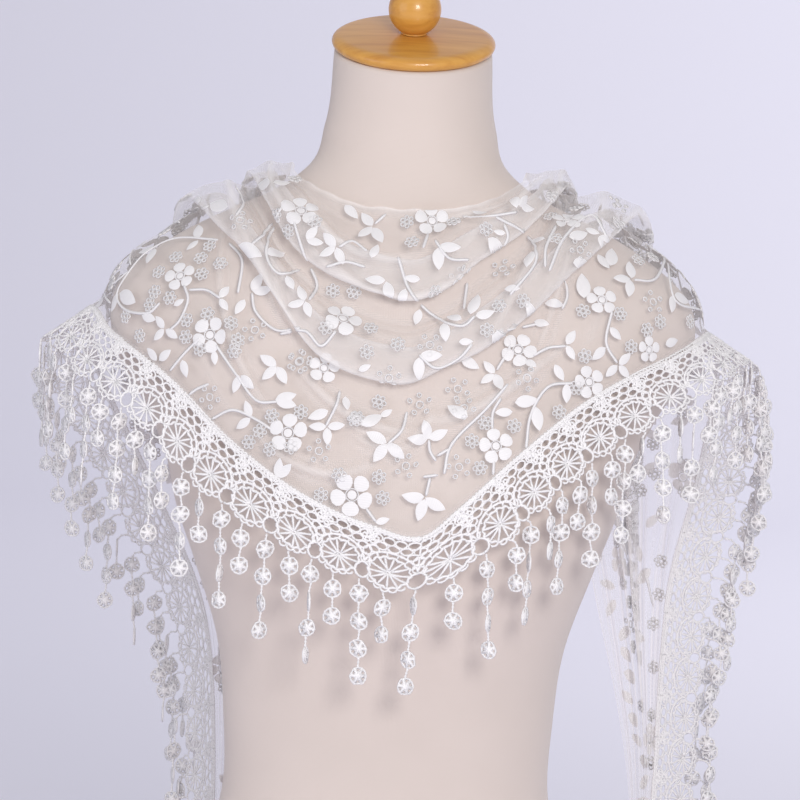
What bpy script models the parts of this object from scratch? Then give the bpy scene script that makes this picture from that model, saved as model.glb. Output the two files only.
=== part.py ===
# Triangular lace shawl, worn point to the front on a limbless dress form.
# Metres, +Z up, the front faces -Y. The origin is the middle of the form's flat underside.
# The long edge of the triangle lies at the neck, the two short edges carry a lace border with
# a fringe of crocheted discs, and the two long ends hang down behind from the shoulders.

import math

import bpy
import bmesh
import numpy as np

# Sizes of the shawl
CLOTH_WALL = 0.0011          # thickness of the net cloth
LACE_WALL = 0.0013           # thickness of the lace border
SEAM_GAP = 0.0003            # parting between the stretches
LACE_GAP = 0.0005            # parting between cloth and lace, whose seam turns corners
CLOTH_CLEARANCE = 0.0034     # middle of the cloth to the form's cover
LACE_CLEARANCE = 0.0050      # middle of the lace to the form's cover
PUSH_SOFTNESS = 0.0040       # how gradually the cloth leaves the form
PUSH_ROUNDS = 4              # the cloth is moved off the form in this many rounds
PUSH_SHARE = 0.6             # each moves it by this share of what is short
PUSH_EASE = 0.12             # and by this share of the softness less
PUSH_REACH = 3               # nothing moves further out than this many softnesses

# Lace border: one repeat is one wheel and the joint beside it
REPEATS_PER_LEG = 27
FRONT_REPEATS = 10           # repeats from the point to the shoulder
JOINT_HALF = 0.17            # half width of the gap at a joint, in repeats
BORDER_ROWS = (0.0, 0.62, 0.86, 1.0)
JOINT_DIP = 0.07             # how far the scalloped edge draws back at a joint
SEAM_SHARE = 0.3             # share of its depth over which the lace leaves the seam
STRETCHES = (("front", 0, FRONT_REPEATS), ("end", FRONT_REPEATS, REPEATS_PER_LEG))

# Fringe: a strand of four discs at each joint, of two discs under each wheel
DISC_WIDTH = 0.0104
DISC_PITCH = 0.0154
STRAND_THICKNESS = 0.0013
THREAD_WIDTH = 0.0012
STRIP_DEPTH = 0.0016
STRIP_GAP = 0.0007           # the strip runs in straight runs beside the scalloped lace
ROOT_HALF = 0.0010           # half width of a strand's root along the strip
LONG_DISCS = 4
SHORT_DISCS = 2
ROOT_DROP = 0.0080           # a strand reaches its hanging place this far below its root
BEND_SHARE = 0.55            # and half its offset at this share of that
SWING_SHARE = 0.3            # it counts as beside the lace from this share of it
EDGE_STEP = 0.004            # step along the lace's edge that gives its direction
INNER_STEP = 0.2             # step in depth that gives the way out of the lace
UPRIGHT_FROM = 0.55          # rise of the edge from which strands start to turn outwards
UPRIGHT_SPAN = 0.30          # and over which they finish
LANE_STEP = 0.0026           # steps to either side in which a strand seeks a free place
LANES = tuple(range(-8, 9))
LANE_REACH = 0.0085          # how far strands hang outside an upright edge
REACH_STEPS = (0.0, 0.003, 0.006, 0.009, 0.012, 0.015, 0.018, 0.021)
STRAND_GAP = 0.0023          # least distance between the middles of strands, face to face
SIDE_GAP = 0.0008            # least distance of discs side by side
EDGE_GAP = 0.0012            # least distance of a disc beside the lace's edge
EDGE_FACE_GAP = 0.0027       # least distance of a strand in front of the lace's edge
ROOT_GAP = 0.0014            # least distance of a root beside a disc
ROOT_FACE_SHARE = 0.75       # a root may pass this share of the strand gap in front of a disc
END_GAP = 0.001              # strands one above the other are this far apart
ROOT_SHARES = (0.15, 0.3, 0.45, 0.6, 0.75, 0.9)
FLOOR_CLEARANCE = 0.006

# Dress form
TOP_TILT = math.radians(18)  # the neck is cut sloping towards the front
NECK_TOP = 0.7405
TILT_START = 0.695
FORM_SIDES = 36
RING_HEIGHTS = np.concatenate([
    (0.0, 0.007, 0.035, 0.070, 0.110, 0.150, 0.190, 0.225),
    np.linspace(0.252, 0.530, 9),
    (0.550, 0.568, 0.585, 0.602, 0.618, 0.632, 0.646, 0.660, 0.678, 0.705, NECK_TOP),
])

# Neck cap and knob, turned about the neck's axis
CAP_PROFILE = ((0.046, 0.0), (0.0515, 0.0012), (0.0535, 0.0042), (0.0525, 0.0070),
               (0.0490, 0.0086), (0.030, 0.0100), (0.012, 0.0104))      # radius, height
CAP_SIDES = 32
KNOB_RADIUS = 0.0172
KNOB_FOOT = 0.0078           # radius of the knob's foot
KNOB_FOOT_RISE = 0.0012
KNOB_SINK = 0.93             # the ball's middle stands this many radii above the cap
KNOB_RINGS = 9
KNOB_SIDES = 20

# Colours of the five finishes
LINEN = (0.74, 0.66, 0.61)
HONEY_WOOD = (0.62, 0.34, 0.12)
WHITE_NET = (0.90, 0.89, 0.92)
WHITE_LACE = (0.93, 0.91, 0.92)
WHITE_THREAD = (0.94, 0.92, 0.93)

# Cross sections of the form: height, half width, front, back, squareness of the outline
FORM_SECTIONS = np.array([
    (0.000, 0.147, -0.103, 0.104, 2.2),
    (0.008, 0.151, -0.107, 0.108, 2.2),
    (0.050, 0.157, -0.109, 0.113, 2.2),
    (0.110, 0.153, -0.105, 0.110, 2.2),
    (0.170, 0.133, -0.096, 0.094, 2.2),
    (0.215, 0.116, -0.089, 0.078, 2.2),
    (0.252, 0.108, -0.085, 0.070, 2.2),
    (0.300, 0.109, -0.087, 0.070, 2.2),
    (0.350, 0.1145, -0.096, 0.076, 2.25),
    (0.400, 0.130, -0.113, 0.083, 2.3),
    (0.440, 0.144, -0.124, 0.088, 2.35),
    (0.475, 0.153, -0.122, 0.091, 2.35),
    (0.505, 0.168, -0.114, 0.093, 2.3),
    (0.535, 0.186, -0.104, 0.092, 2.3),
    (0.560, 0.192, -0.096, 0.089, 2.3),
    (0.585, 0.185, -0.086, 0.083, 2.3),
    (0.602, 0.167, -0.078, 0.077, 2.25),
    (0.618, 0.143, -0.070, 0.070, 2.2),
    (0.632, 0.116, -0.063, 0.063, 2.1),
    (0.646, 0.087, -0.057, 0.057, 2.0),
    (0.662, 0.066, -0.052, 0.052, 2.0),
    (0.690, 0.056, -0.049, 0.049, 2.0),
    (0.7405, 0.0515, -0.0505, 0.0505, 2.0),
])

# Lines along the shawl: station, x, y, z. Station 0 is the middle of the front,
# -1 and 1 are the tops of the shoulders, -2 and 2 the tips of the two ends behind.
NECK_EDGE = np.array([
    (-2.00, -0.112, 0.112, 0.097),
    (-1.80, -0.098, 0.112, 0.235),
    (-1.60, -0.096, 0.112, 0.378),
    (-1.35, -0.088, 0.098, 0.530),
    (-1.15, -0.080, 0.052, 0.626),
    (-1.00, -0.074, 0.008, 0.656),
    (-0.75, -0.067, -0.024, 0.650),
    (-0.50, -0.051, -0.046, 0.641),
    (-0.25, -0.028, -0.057, 0.636),
    (0.00, 0.002, -0.061, 0.635),
    (0.25, 0.030, -0.057, 0.636),
    (0.50, 0.052, -0.046, 0.641),
    (0.75, 0.067, -0.024, 0.648),
    (1.00, 0.074, 0.008, 0.654),
    (1.15, 0.080, 0.052, 0.626),
    (1.35, 0.099, 0.098, 0.530),
    (1.60, 0.139, 0.115, 0.378),
    (1.80, 0.170, 0.110, 0.235),
    (2.00, 0.174, 0.110, 0.097),
])
LACE_SEAM = np.array([
    (-2.00, -0.120, 0.112, 0.095),
    (-1.80, -0.120, 0.113, 0.245),
    (-1.60, -0.129, 0.114, 0.340),
    (-1.35, -0.163, 0.106, 0.425),
    (-1.15, -0.202, 0.060, 0.515),
    (-1.00, -0.208, 0.012, 0.563),
    (-0.85, -0.181, -0.040, 0.551),
    (-0.67, -0.146, -0.076, 0.527),
    (-0.47, -0.106, -0.103, 0.491),
    (-0.28, -0.060, -0.127, 0.461),
    (-0.12, -0.015, -0.133, 0.443),
    (0.00, 0.017, -0.132, 0.437),
    (0.10, 0.039, -0.131, 0.455),
    (0.25, 0.070, -0.122, 0.484),
    (0.44, 0.110, -0.101, 0.517),
    (0.66, 0.157, -0.063, 0.545),
    (0.85, 0.190, -0.020, 0.561),
    (1.00, 0.206, 0.020, 0.558),
    (1.15, 0.211, 0.055, 0.522),
    (1.35, 0.206, 0.092, 0.455),
    (1.60, 0.190, 0.107, 0.365),
    (1.80, 0.187, 0.110, 0.240),
    (2.00, 0.186, 0.110, 0.095),
])
LACE_EDGE = np.array([
    (-2.00, -0.146, 0.132, 0.092),
    (-1.80, -0.142, 0.133, 0.235),
    (-1.60, -0.152, 0.134, 0.325),
    (-1.35, -0.192, 0.118, 0.408),
    (-1.15, -0.234, 0.070, 0.498),
    (-1.00, -0.239, 0.014, 0.541),
    (-0.85, -0.204, -0.046, 0.522),
    (-0.67, -0.166, -0.083, 0.496),
    (-0.47, -0.125, -0.108, 0.458),
    (-0.28, -0.070, -0.133, 0.427),
    (-0.12, -0.024, -0.137, 0.408),
    (0.00, 0.014, -0.136, 0.401),
    (0.10, 0.058, -0.134, 0.425),
    (0.25, 0.093, -0.123, 0.456),
    (0.44, 0.131, -0.102, 0.488),
    (0.66, 0.179, -0.066, 0.517),
    (0.85, 0.215, -0.022, 0.538),
    (1.00, 0.237, 0.022, 0.540),
    (1.15, 0.245, 0.062, 0.510),
    (1.35, 0.241, 0.102, 0.449),
    (1.60, 0.222, 0.118, 0.361),
    (1.80, 0.218, 0.122, 0.238),
    (2.00, 0.216, 0.124, 0.092),
])

# The two large folds: station, lower edge (0 neck to 1 lace seam), depth of the lap,
# height of the outer layer, and 1 where the cloth is doubled back or 0 where it is a wave
UPPER_FOLD = np.array([
    (-2.00, 0.30, 0.0020, 0.001, 0.0),
    (-1.60, 0.30, 0.0080, 0.008, 0.0),
    (-1.25, 0.26, 0.0150, 0.010, 0.8),
    (-1.00, 0.22, 0.0170, 0.012, 1.0),
    (-0.50, 0.27, 0.0260, 0.010, 1.0),
    (0.00, 0.28, 0.0300, 0.009, 1.0),
    (0.50, 0.24, 0.0240, 0.010, 1.0),
    (1.00, 0.22, 0.0170, 0.012, 1.0),
    (1.25, 0.26, 0.0150, 0.010, 0.8),
    (1.60, 0.30, 0.0080, 0.008, 0.0),
    (2.00, 0.30, 0.0020, 0.001, 0.0),
])
LOWER_FOLD = np.array([
    (-2.00, 0.68, 0.0020, 0.001, 0.0),
    (-1.60, 0.62, 0.0090, 0.009, 0.2),
    (-1.25, 0.55, 0.0150, 0.011, 1.0),
    (-1.00, 0.50, 0.0180, 0.012, 1.0),
    (-0.50, 0.48, 0.0260, 0.010, 1.0),
    (0.00, 0.53, 0.0300, 0.010, 1.0),
    (0.50, 0.52, 0.0260, 0.010, 1.0),
    (1.00, 0.57, 0.0180, 0.012, 1.0),
    (1.25, 0.58, 0.0150, 0.011, 1.0),
    (1.60, 0.62, 0.0110, 0.010, 1.0),
    (1.80, 0.64, 0.0050, 0.004, 0.0),
    (2.00, 0.68, 0.0020, 0.001, 0.0),
])
# Section of a fold: place in laps from its edge and height in lifts where the cloth is doubled
# back, then the same two where it is a wave
FOLD_SECTION = (
    (-1.00, 1.00, -1.0, 0.80),
    (-0.22, 1.00, -0.5, 1.00),
    (0.00, 0.75, -0.1, 0.95),
    (-0.22, 0.50, 0.3, 0.78),
    (-0.78, 0.50, 0.7, 0.52),
    (-1.00, 0.25, 1.0, 0.30),
    (-0.78, 0.00, 1.3, 0.10),
    (0.20, 0.00, 1.7, 0.00),
)
WAVE_SHARE = 0.11            # a lap stays within this share of the cloth's width as a wave
FOLD_SHARE = 0.11            # and this much more where it is doubled back
ROOM_SHARE = 0.56            # and within this share of the room above its edge
WAVE_LIFT = 0.10             # likewise for the height of its outer layer
FOLD_LIFT = 0.15
LIP_LIFT = 0.0015            # the raw neck edge stands a little proud
NECK_SWELL = 0.45            # height between neck edge and upper fold, in that fold's lifts
MIDDLE_SWELL = 0.35          # height between the two folds, in the lower fold's lifts
FRONT_ROWS = 31              # rows of points along the front, and along each end
END_ROWS = 15
SHOULDER_STEP = 0.20         # length of shawl over one unit of station at the shoulder
SOFT_CREST = 0.0025          # low swell between the lower fold and the lace
NORMAL_STEP = 0.01           # step along and across the shawl that gives its outward way
NORMAL_INSET = 0.02          # which is read this far inside its two edges
ALONG_STEP = 0.02            # step along the seam that gives its direction
LEG_READINGS = 401           # readings of a leg's length


def unit(vectors):
    """Vectors made one long."""
    return vectors / (np.linalg.norm(vectors, axis=-1, keepdims=True) + 1e-12)


def read_rows(table, station):
    """Smooth cubic through a table's rows; a row starts with its station."""
    station = np.asarray(station, float)
    keys = table[:, 0]
    values = table[:, 1:]
    slopes = np.gradient(values, keys, axis=0)
    row = np.clip(np.searchsorted(keys, station, side="right") - 1, 0, len(keys) - 2)
    span = keys[row + 1] - keys[row]
    t = ((station - keys[row]) / span)[..., None]
    span = span[..., None]
    start = (1 + 2 * t) * (1 - t) ** 2 * values[row] + t * (1 - t) ** 2 * span * slopes[row]
    end = t * t * (3 - 2 * t) * values[row + 1] + t * t * (t - 1) * span * slopes[row + 1]
    return start + end


def form_level(points):
    """Below 0 inside the form's cover, 0 on it, above 0 outside."""
    height = np.clip(points[..., 2], FORM_SECTIONS[0, 0], FORM_SECTIONS[-1, 0])
    half_width, front, back, power = np.moveaxis(read_rows(FORM_SECTIONS, height), -1, 0)
    across = np.abs(points[..., 0]) / half_width
    deep = np.abs(points[..., 1] - (front + back) / 2) / ((back - front) / 2)
    return (across ** power + deep ** power) ** (1 / power) - 1


def form_gap(points):
    """Distance to the form's cover, and the direction away from it."""
    step = 0.001
    level = form_level(points)
    slope = np.empty(points.shape)
    for axis in range(3):
        shift = np.zeros(3)
        shift[axis] = step
        slope[..., axis] = (form_level(points + shift) - form_level(points - shift)) / (2 * step)
    steep = np.linalg.norm(slope, axis=-1, keepdims=True) + 1e-9
    return level / steep[..., 0], slope / steep


def keep_clear(points, clearance):
    """Points moved softly outwards until they clear the form."""
    for _ in range(PUSH_ROUNDS):
        gap, away = form_gap(points)
        short = clearance - gap
        push = 0.5 * (short + np.sqrt(short ** 2 + PUSH_SOFTNESS ** 2)) - PUSH_SOFTNESS * PUSH_EASE
        push = np.where(short > -PUSH_REACH * PUSH_SOFTNESS, np.maximum(push, 0), 0)
        points = points + PUSH_SHARE * push[..., None] * away
    return points


def ground(station, across):
    """The smooth surface the shawl lies on, from the neck edge (0) to the lace seam (1)."""
    station, across = np.broadcast_arrays(np.asarray(station, float), np.asarray(across, float))
    t = across[..., None]
    chord = read_rows(NECK_EDGE, station) * (1 - t) + read_rows(LACE_SEAM, station) * t
    return keep_clear(chord, CLOTH_CLEARANCE)


def ground_normal(station, across):
    """Outward direction of that surface."""
    step = NORMAL_STEP
    inner = np.clip(across, NORMAL_INSET, 1 - NORMAL_INSET)
    along = ground(np.minimum(station + step, 2), inner) - ground(np.maximum(station - step, -2), inner)
    over = ground(station, inner + step) - ground(station, inner - step)
    return unit(np.cross(over, along))


def fold_points(edge, lap, lift, closed, room, span):
    """Eight points across one fold, between its section doubled back and its section as a wave."""
    closed = np.clip(closed, 0, 1)
    lap = np.minimum(np.minimum(lap / span, WAVE_SHARE + FOLD_SHARE * closed), ROOM_SHARE * room)
    lift = np.minimum(lift, span * (WAVE_LIFT + FOLD_LIFT * closed))
    return [(edge + lap * (closed * doubled + (1 - closed) * wave),
             lift * (closed * doubled_height + (1 - closed) * wave_height))
            for doubled, doubled_height, wave, wave_height in FOLD_SECTION]


def cloth_points(stations):
    """Grid of points over the folded cloth: one row for each station."""
    stations = np.asarray(stations, float)
    span = np.linalg.norm(read_rows(NECK_EDGE, stations) - read_rows(LACE_SEAM, stations), axis=-1)
    upper = np.moveaxis(read_rows(UPPER_FOLD, stations), -1, 0)
    lower = np.moveaxis(read_rows(LOWER_FOLD, stations), -1, 0)
    upper_points = fold_points(*upper, upper[0], span)
    lower_points = fold_points(*lower, lower[0] - upper_points[-1][0], span)
    calm = np.clip(2.0 - np.abs(stations), 0, 1)
    start = [(0 * stations, LIP_LIFT * calm),
             (0.5 * upper_points[0][0], NECK_SWELL * upper_points[0][1])]
    between = [(0.5 * (upper_points[-1][0] + lower_points[0][0]), MIDDLE_SWELL * lower_points[0][1])]
    end = [(0.5 * (lower_points[-1][0] + 1), SOFT_CREST * calm), (1 + 0 * stations, 0 * stations)]
    profile = start + upper_points + between + lower_points + end
    across = np.stack([point[0] for point in profile], -1)
    height = np.stack([point[1] for point in profile], -1)
    station = np.broadcast_to(stations[:, None], across.shape)
    flat = ground(station, across)
    return flat + ground_normal(station, across) * height[..., None]


def cloth_stations():
    """Stations of the rows in the three stretches of cloth, parted at the shoulders."""
    part = SEAM_GAP / 2 / SHOULDER_STEP
    return {"shawl_end_left": np.linspace(-2, -1 - part, END_ROWS),
            "shawl_front": np.linspace(-1 + part, 1 - part, FRONT_ROWS),
            "shawl_end_right": np.linspace(1 + part, 2, END_ROWS)}


def seam_line():
    """Stations, points and shared wall direction along the seam of cloth and lace."""
    knots = np.concatenate(list(cloth_stations().values()))
    points = ground(knots, np.ones(knots.shape))
    cloth_side = ground_normal(knots, np.ones(knots.shape))
    lace_way = read_rows(LACE_EDGE, knots) - read_rows(LACE_SEAM, knots)
    after = ground(np.minimum(knots + ALONG_STEP, 2), 1.0)
    along = unit(after - ground(np.maximum(knots - ALONG_STEP, -2), 1.0))
    lace_side = unit(np.cross(lace_way, along))
    shared = unit(cloth_side + lace_side)
    sewn = lace_way - shared * np.sum(lace_way * shared, -1, keepdims=True)
    sewn = unit(sewn - along * np.sum(sewn * along, -1, keepdims=True))
    return knots, points, shared, sewn


def on_seam(values, stations):
    """Values given at the seam's knots, read in straight runs between them."""
    return np.stack([np.interp(stations, SEAM_KNOTS, values[:, i]) for i in range(3)], -1)


def border_points(stations, depth):
    """Points on the lace, 0 at the seam and 1 at the scalloped edge."""
    stations, depth = np.broadcast_arrays(np.asarray(stations, float), np.asarray(depth, float))
    t = depth[..., None]
    way = read_rows(LACE_EDGE, stations) - read_rows(LACE_SEAM, stations)
    seam = on_seam(SEAM_POINTS, stations) + LACE_GAP * unit(on_seam(SEAM_WAY, stations))
    outer = keep_clear(ground(stations, 1.0) + way * np.maximum(t, SEAM_SHARE), LACE_CLEARANCE)
    share = np.clip(t / SEAM_SHARE, 0, 1)
    return seam * (1 - share) + outer * share


def leg_lengths():
    """Station against length along the lace seam, for each leg from the point."""
    legs = {}
    for side in (-1, 1):
        stations = side * np.linspace(0, 2, LEG_READINGS)
        points = ground(stations, 1.0)
        steps = np.linalg.norm(np.diff(points, axis=0), axis=-1)
        legs[side] = (np.concatenate([[0], np.cumsum(steps)]), np.abs(stations))
    return legs


SEAM_KNOTS, SEAM_POINTS, SEAM_SIDE, SEAM_WAY = seam_line()
LEGS = leg_lengths()
PITCH = {side: LEGS[side][0][-1] / REPEATS_PER_LEG for side in LEGS}


def station_at(side, repeats, shift=0.0):
    """Station of a place on a leg, counted in repeats from the point, moved by a length."""
    length = np.asarray(repeats, float) * PITCH[side] + shift
    return side * np.interp(length, LEGS[side][0], LEGS[side][1])


def grid_normals(points):
    """Direction square to a grid of points, at each of them."""
    return unit(np.cross(np.gradient(points, axis=1), np.gradient(points, axis=0)))


def wall_mesh(name, points, thickness, seam_column, seam_side, holes=()):
    """Closed wall round a grid of points, square to seam_side at the sewn column, with holes."""
    rows, columns = points.shape[:2]
    normals = grid_normals(points)
    normals[:, seam_column] = seam_side
    offset = normals * thickness / 2
    corners = np.concatenate([(points + offset).reshape(-1, 3), (points - offset).reshape(-1, 3)])
    back = rows * columns
    present = np.ones((rows - 1, columns - 1), bool)
    for cell in holes:
        present[cell] = False
    faces = []
    for i in range(rows - 1):
        for j in range(columns - 1):
            if not present[i, j]:
                continue
            a = i * columns + j
            b = a + 1
            c = b + columns
            d = a + columns
            faces.append((a, b, c, d))
            faces.append((back + d, back + c, back + b, back + a))
            sides = [((i, j - 1), d, a), ((i - 1, j), a, b), ((i, j + 1), b, c), ((i + 1, j), c, d)]
            for (ni, nj), start, end in sides:
                inside = 0 <= ni < rows - 1 and 0 <= nj < columns - 1
                if not inside or not present[ni, nj]:
                    faces.append((end, start, back + start, back + end))
    return mesh_object(name, corners, faces)


def mesh_object(name, corners, faces):
    """Object from corners and faces: unused corners go, and the faces point outwards."""
    mesh = bpy.data.meshes.new(name)
    mesh.from_pydata([tuple(corner) for corner in corners], [], faces)
    work = bmesh.new()
    work.from_mesh(mesh)
    loose = [vertex for vertex in work.verts if not vertex.link_faces]
    bmesh.ops.delete(work, geom=loose, context="VERTS")
    bmesh.ops.triangulate(work, faces=work.faces)
    bmesh.ops.recalc_face_normals(work, faces=work.faces)
    work.to_mesh(mesh)
    work.free()
    mesh.shade_smooth()
    result = bpy.data.objects.new(name, mesh)
    bpy.context.scene.collection.objects.link(result)
    return result


def give_material(target, colour, roughness, alpha=1.0):
    """Own Principled material for one object."""
    material = bpy.data.materials.new(target.name)
    material.use_nodes = True
    shader = material.node_tree.nodes["Principled BSDF"]
    shader.inputs["Base Color"].default_value = (*colour, 1)
    shader.inputs["Roughness"].default_value = roughness
    shader.inputs["Alpha"].default_value = alpha
    target.data.materials.append(material)
    return target


def make_torso():
    """Limbless torso: rings of rounded sections, the neck cut sloping, the underside flat."""
    angle = np.linspace(0, 2 * math.pi, FORM_SIDES, endpoint=False)
    rings = []
    for height in RING_HEIGHTS:
        half_width, front, back, power = read_rows(FORM_SECTIONS, height)
        ring_x = np.sign(np.cos(angle)) * np.abs(np.cos(angle)) ** (2 / power) * half_width
        ring_y = np.sign(np.sin(angle)) * np.abs(np.sin(angle)) ** (2 / power)
        ring_y = ring_y * (back - front) / 2 + (front + back) / 2
        share = min(max((height - TILT_START) / (NECK_TOP - TILT_START), 0), 1)
        ring_z = height + share * math.tan(TOP_TILT) * ring_y
        rings.append(np.stack([ring_x, ring_y, ring_z], -1))
    corners = np.concatenate(rings)
    count = len(RING_HEIGHTS)
    faces = [(r * FORM_SIDES + s, r * FORM_SIDES + (s + 1) % FORM_SIDES,
              (r + 1) * FORM_SIDES + (s + 1) % FORM_SIDES, (r + 1) * FORM_SIDES + s)
             for r in range(count - 1) for s in range(FORM_SIDES)]
    faces.append(tuple(range(FORM_SIDES))[::-1])
    faces.append(tuple((count - 1) * FORM_SIDES + s for s in range(FORM_SIDES)))
    give_material(mesh_object("dress_form_torso", corners, faces), LINEN, 0.85)


def turned(name, profile, sides):
    """Solid turned about the sloping axis of the neck; the profile is (radius, height)."""
    work = bmesh.new()
    points = [work.verts.new((radius, 0, height)) for radius, height in profile]
    edges = [work.edges.new(pair) for pair in zip(points, points[1:])]
    bmesh.ops.spin(work, geom=points + edges, axis=(0, 0, 1), cent=(0, 0, 0), steps=sides,
                   angle=2 * math.pi, use_duplicate=False)
    bmesh.ops.remove_doubles(work, verts=work.verts, dist=0.00001)
    bmesh.ops.triangulate(work, faces=work.faces)
    bmesh.ops.recalc_face_normals(work, faces=work.faces)
    mesh = bpy.data.meshes.new(name)
    work.to_mesh(mesh)
    work.free()
    mesh.shade_smooth()
    result = bpy.data.objects.new(name, mesh)
    bpy.context.scene.collection.objects.link(result)
    result.location = (0, 0, NECK_TOP)
    result.rotation_euler = (TOP_TILT, 0, 0)
    return result


def make_cap_and_knob():
    """Wooden cap over the cut neck, and the ball knob standing on it."""
    rim = [(radius, SEAM_GAP + height) for radius, height in CAP_PROFILE]
    cap = [(0, rim[0][1])] + rim + [(0, rim[-1][1])]
    seat = rim[-1][1] + SEAM_GAP
    centre = seat + KNOB_RADIUS * KNOB_SINK
    turns = np.linspace(math.asin(KNOB_FOOT / KNOB_RADIUS), math.pi, KNOB_RINGS)[1:-1]
    ball = [(KNOB_RADIUS * math.sin(a), centre - KNOB_RADIUS * math.cos(a)) for a in turns]
    foot = [(0, seat), (KNOB_FOOT, seat), (KNOB_FOOT, seat + KNOB_FOOT_RISE)]
    knob = foot + ball + [(0, centre + KNOB_RADIUS)]
    give_material(turned("dress_form_neck_cap", cap, CAP_SIDES), HONEY_WOOD, 0.25)
    give_material(turned("dress_form_knob", knob, KNOB_SIDES), HONEY_WOOD, 0.25)


def make_cloth():
    """The net triangle in the three stretches that show: front, and an end behind each shoulder."""
    for name, stations in cloth_stations().items():
        seam_side = unit(on_seam(SEAM_SIDE, stations))
        piece = wall_mesh(name, cloth_points(stations), CLOTH_WALL, -1, seam_side)
        give_material(piece, WHITE_NET, 0.5, alpha=0.4)


def border_columns(first, last):
    """Places along the lace in repeats: the sides of each joint gap and the middle of each wheel."""
    inner = [k + place for k in range(first, last) for place in (JOINT_HALF, 0.5, 1 - JOINT_HALF)]
    return np.array([first] + inner + [last], float)


def edge_depth(places):
    """Depth of the scalloped edge: full under a wheel, drawn back beside a joint."""
    from_wheel = np.abs(np.asarray(places) % 1 - 0.5) / (0.5 - JOINT_HALF)
    return 1 - JOINT_DIP * np.minimum(from_wheel, 1)


def lace_grid(side, first, last):
    """Grid over one stretch of lace, and its hole cells."""
    places = border_columns(first, last)
    shift = np.zeros(len(places))
    shift[0] = SEAM_GAP / 2
    shift[-1] = -SEAM_GAP / 2 if last < REPEATS_PER_LEG else 0
    stations = station_at(side, places, shift)
    depth = np.array(BORDER_ROWS)[None, :] * edge_depth(places)[:, None]
    depth[:, 0] = 0
    points = border_points(np.repeat(stations[:, None], len(BORDER_ROWS), 1), depth)
    holes = [(3 * k + 3, 1) for k in range(last - first - 1)]
    return points, side * unit(on_seam(SEAM_SIDE, stations)), holes


def make_border():
    """Four stretches of lace, mitred at the point and parted at the shoulders."""
    for side, word in ((-1, "left"), (1, "right")):
        for stretch, first, last in STRETCHES:
            points, seam_side, holes = lace_grid(side, first, last)
            name = "lace_border_%s_%s" % (stretch, word)
            piece = wall_mesh(name, points, LACE_WALL, 0, seam_side, holes)
            give_material(piece, WHITE_LACE, 0.6)


def strand_frames(side):
    """Root place, ways and length of every strand on a leg, keyed by its half repeat."""
    frames = {}
    for half in range(0 if side == 1 else 1, 2 * REPEATS_PER_LEG):
        station = station_at(side, half / 2)
        depth = edge_depth(half / 2)
        edge = border_points(station, depth)
        outward = unit(edge - border_points(station, depth - INNER_STEP))
        ends = border_points(station_at(side, half / 2, np.array([-EDGE_STEP, EDGE_STEP])), depth)
        along = unit(ends[1] - ends[0])
        flat = np.array([1, 1, 0])
        upright = min(max((abs(along[2]) - UPRIGHT_FROM) / UPRIGHT_SPAN, 0), 1)
        side_way = unit((side * along * (1 - upright) + outward * upright * side) * flat)
        if abs(along[2]) < UPRIGHT_FROM:
            side_way = unit(along * flat)
        face = np.cross(side_way, (0, 0, 1))
        discs = LONG_DISCS if half % 2 == 0 else SHORT_DISCS
        while edge[2] - ROOT_DROP - discs * DISC_PITCH < FLOOR_CLEARANCE and discs > 1:
            discs -= 1
        frames[half] = dict(edge=edge, outward=unit(outward * flat), side_way=side_way, face=face,
                            discs=discs, upright=upright)
    return frames


def hang_strands(side):
    """Offset of each strand from its root: the nearest place free of the strands above it."""
    frames = strand_frames(side)
    edges = np.array([frames[half]["edge"] for half in sorted(frames)])
    hung = []
    offsets = {}
    for half in sorted(frames, key=lambda key: -frames[key]["edge"][2]):
        frame = frames[half]
        home = frame["outward"] * LANE_REACH * frame["upright"]
        places = []
        for more in REACH_STEPS:
            for lane in LANES:
                places.append(home + frame["outward"] * more + frame["face"] * lane * LANE_STEP)
        places = sorted(places, key=lambda place: np.linalg.norm(place - home))
        top = frame["edge"][2] - SWING_SHARE * ROOT_DROP
        low = frame["edge"][2] - ROOT_DROP - frame["discs"] * DISC_PITCH
        below = edges[(edges[:, 2] < top) & (edges[:, 2] > low - 2 * END_GAP)]
        chosen = home
        for place in places:
            if not misses_edge(frame, place, below):
                continue
            if all(is_clear(frame["edge"], place, top, low, other) for other in hung):
                chosen = place
                break
        offsets[half] = chosen
        hung.append((frame["edge"] + chosen, top, low, frame["side_way"], frame["face"]))
    return frames, offsets


def misses_edge(frame, place, below):
    """Whether a strand hung at a place passes beside the lace's edge further down."""
    apart = frame["edge"] + place - below
    beside = np.abs(apart @ frame["side_way"]) > 0.5 * DISC_WIDTH + STRIP_DEPTH + EDGE_GAP
    before = np.abs(apart @ frame["face"]) > EDGE_FACE_GAP
    return bool(np.all(beside | before))


def is_clear(root, place, top, low, other):
    """Whether a strand hung at a place stays off another one, and so does its root."""
    middle, other_top, other_low, side_way, face = other
    if top > other_low - END_GAP and low < other_top + END_GAP:
        apart = root + place - middle
        if abs(apart @ face) < STRAND_GAP and abs(apart @ side_way) < DISC_WIDTH + SIDE_GAP:
            return False
    if root[2] < other_low - END_GAP:
        return True
    face_gap = ROOT_FACE_SHARE * STRAND_GAP
    side_gap = 0.5 * DISC_WIDTH + ROOT_GAP
    for share in ROOT_SHARES:
        apart = root + place * share - middle
        if abs(apart @ face) < face_gap and abs(apart @ side_way) < side_gap:
            return False
    return True


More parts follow.
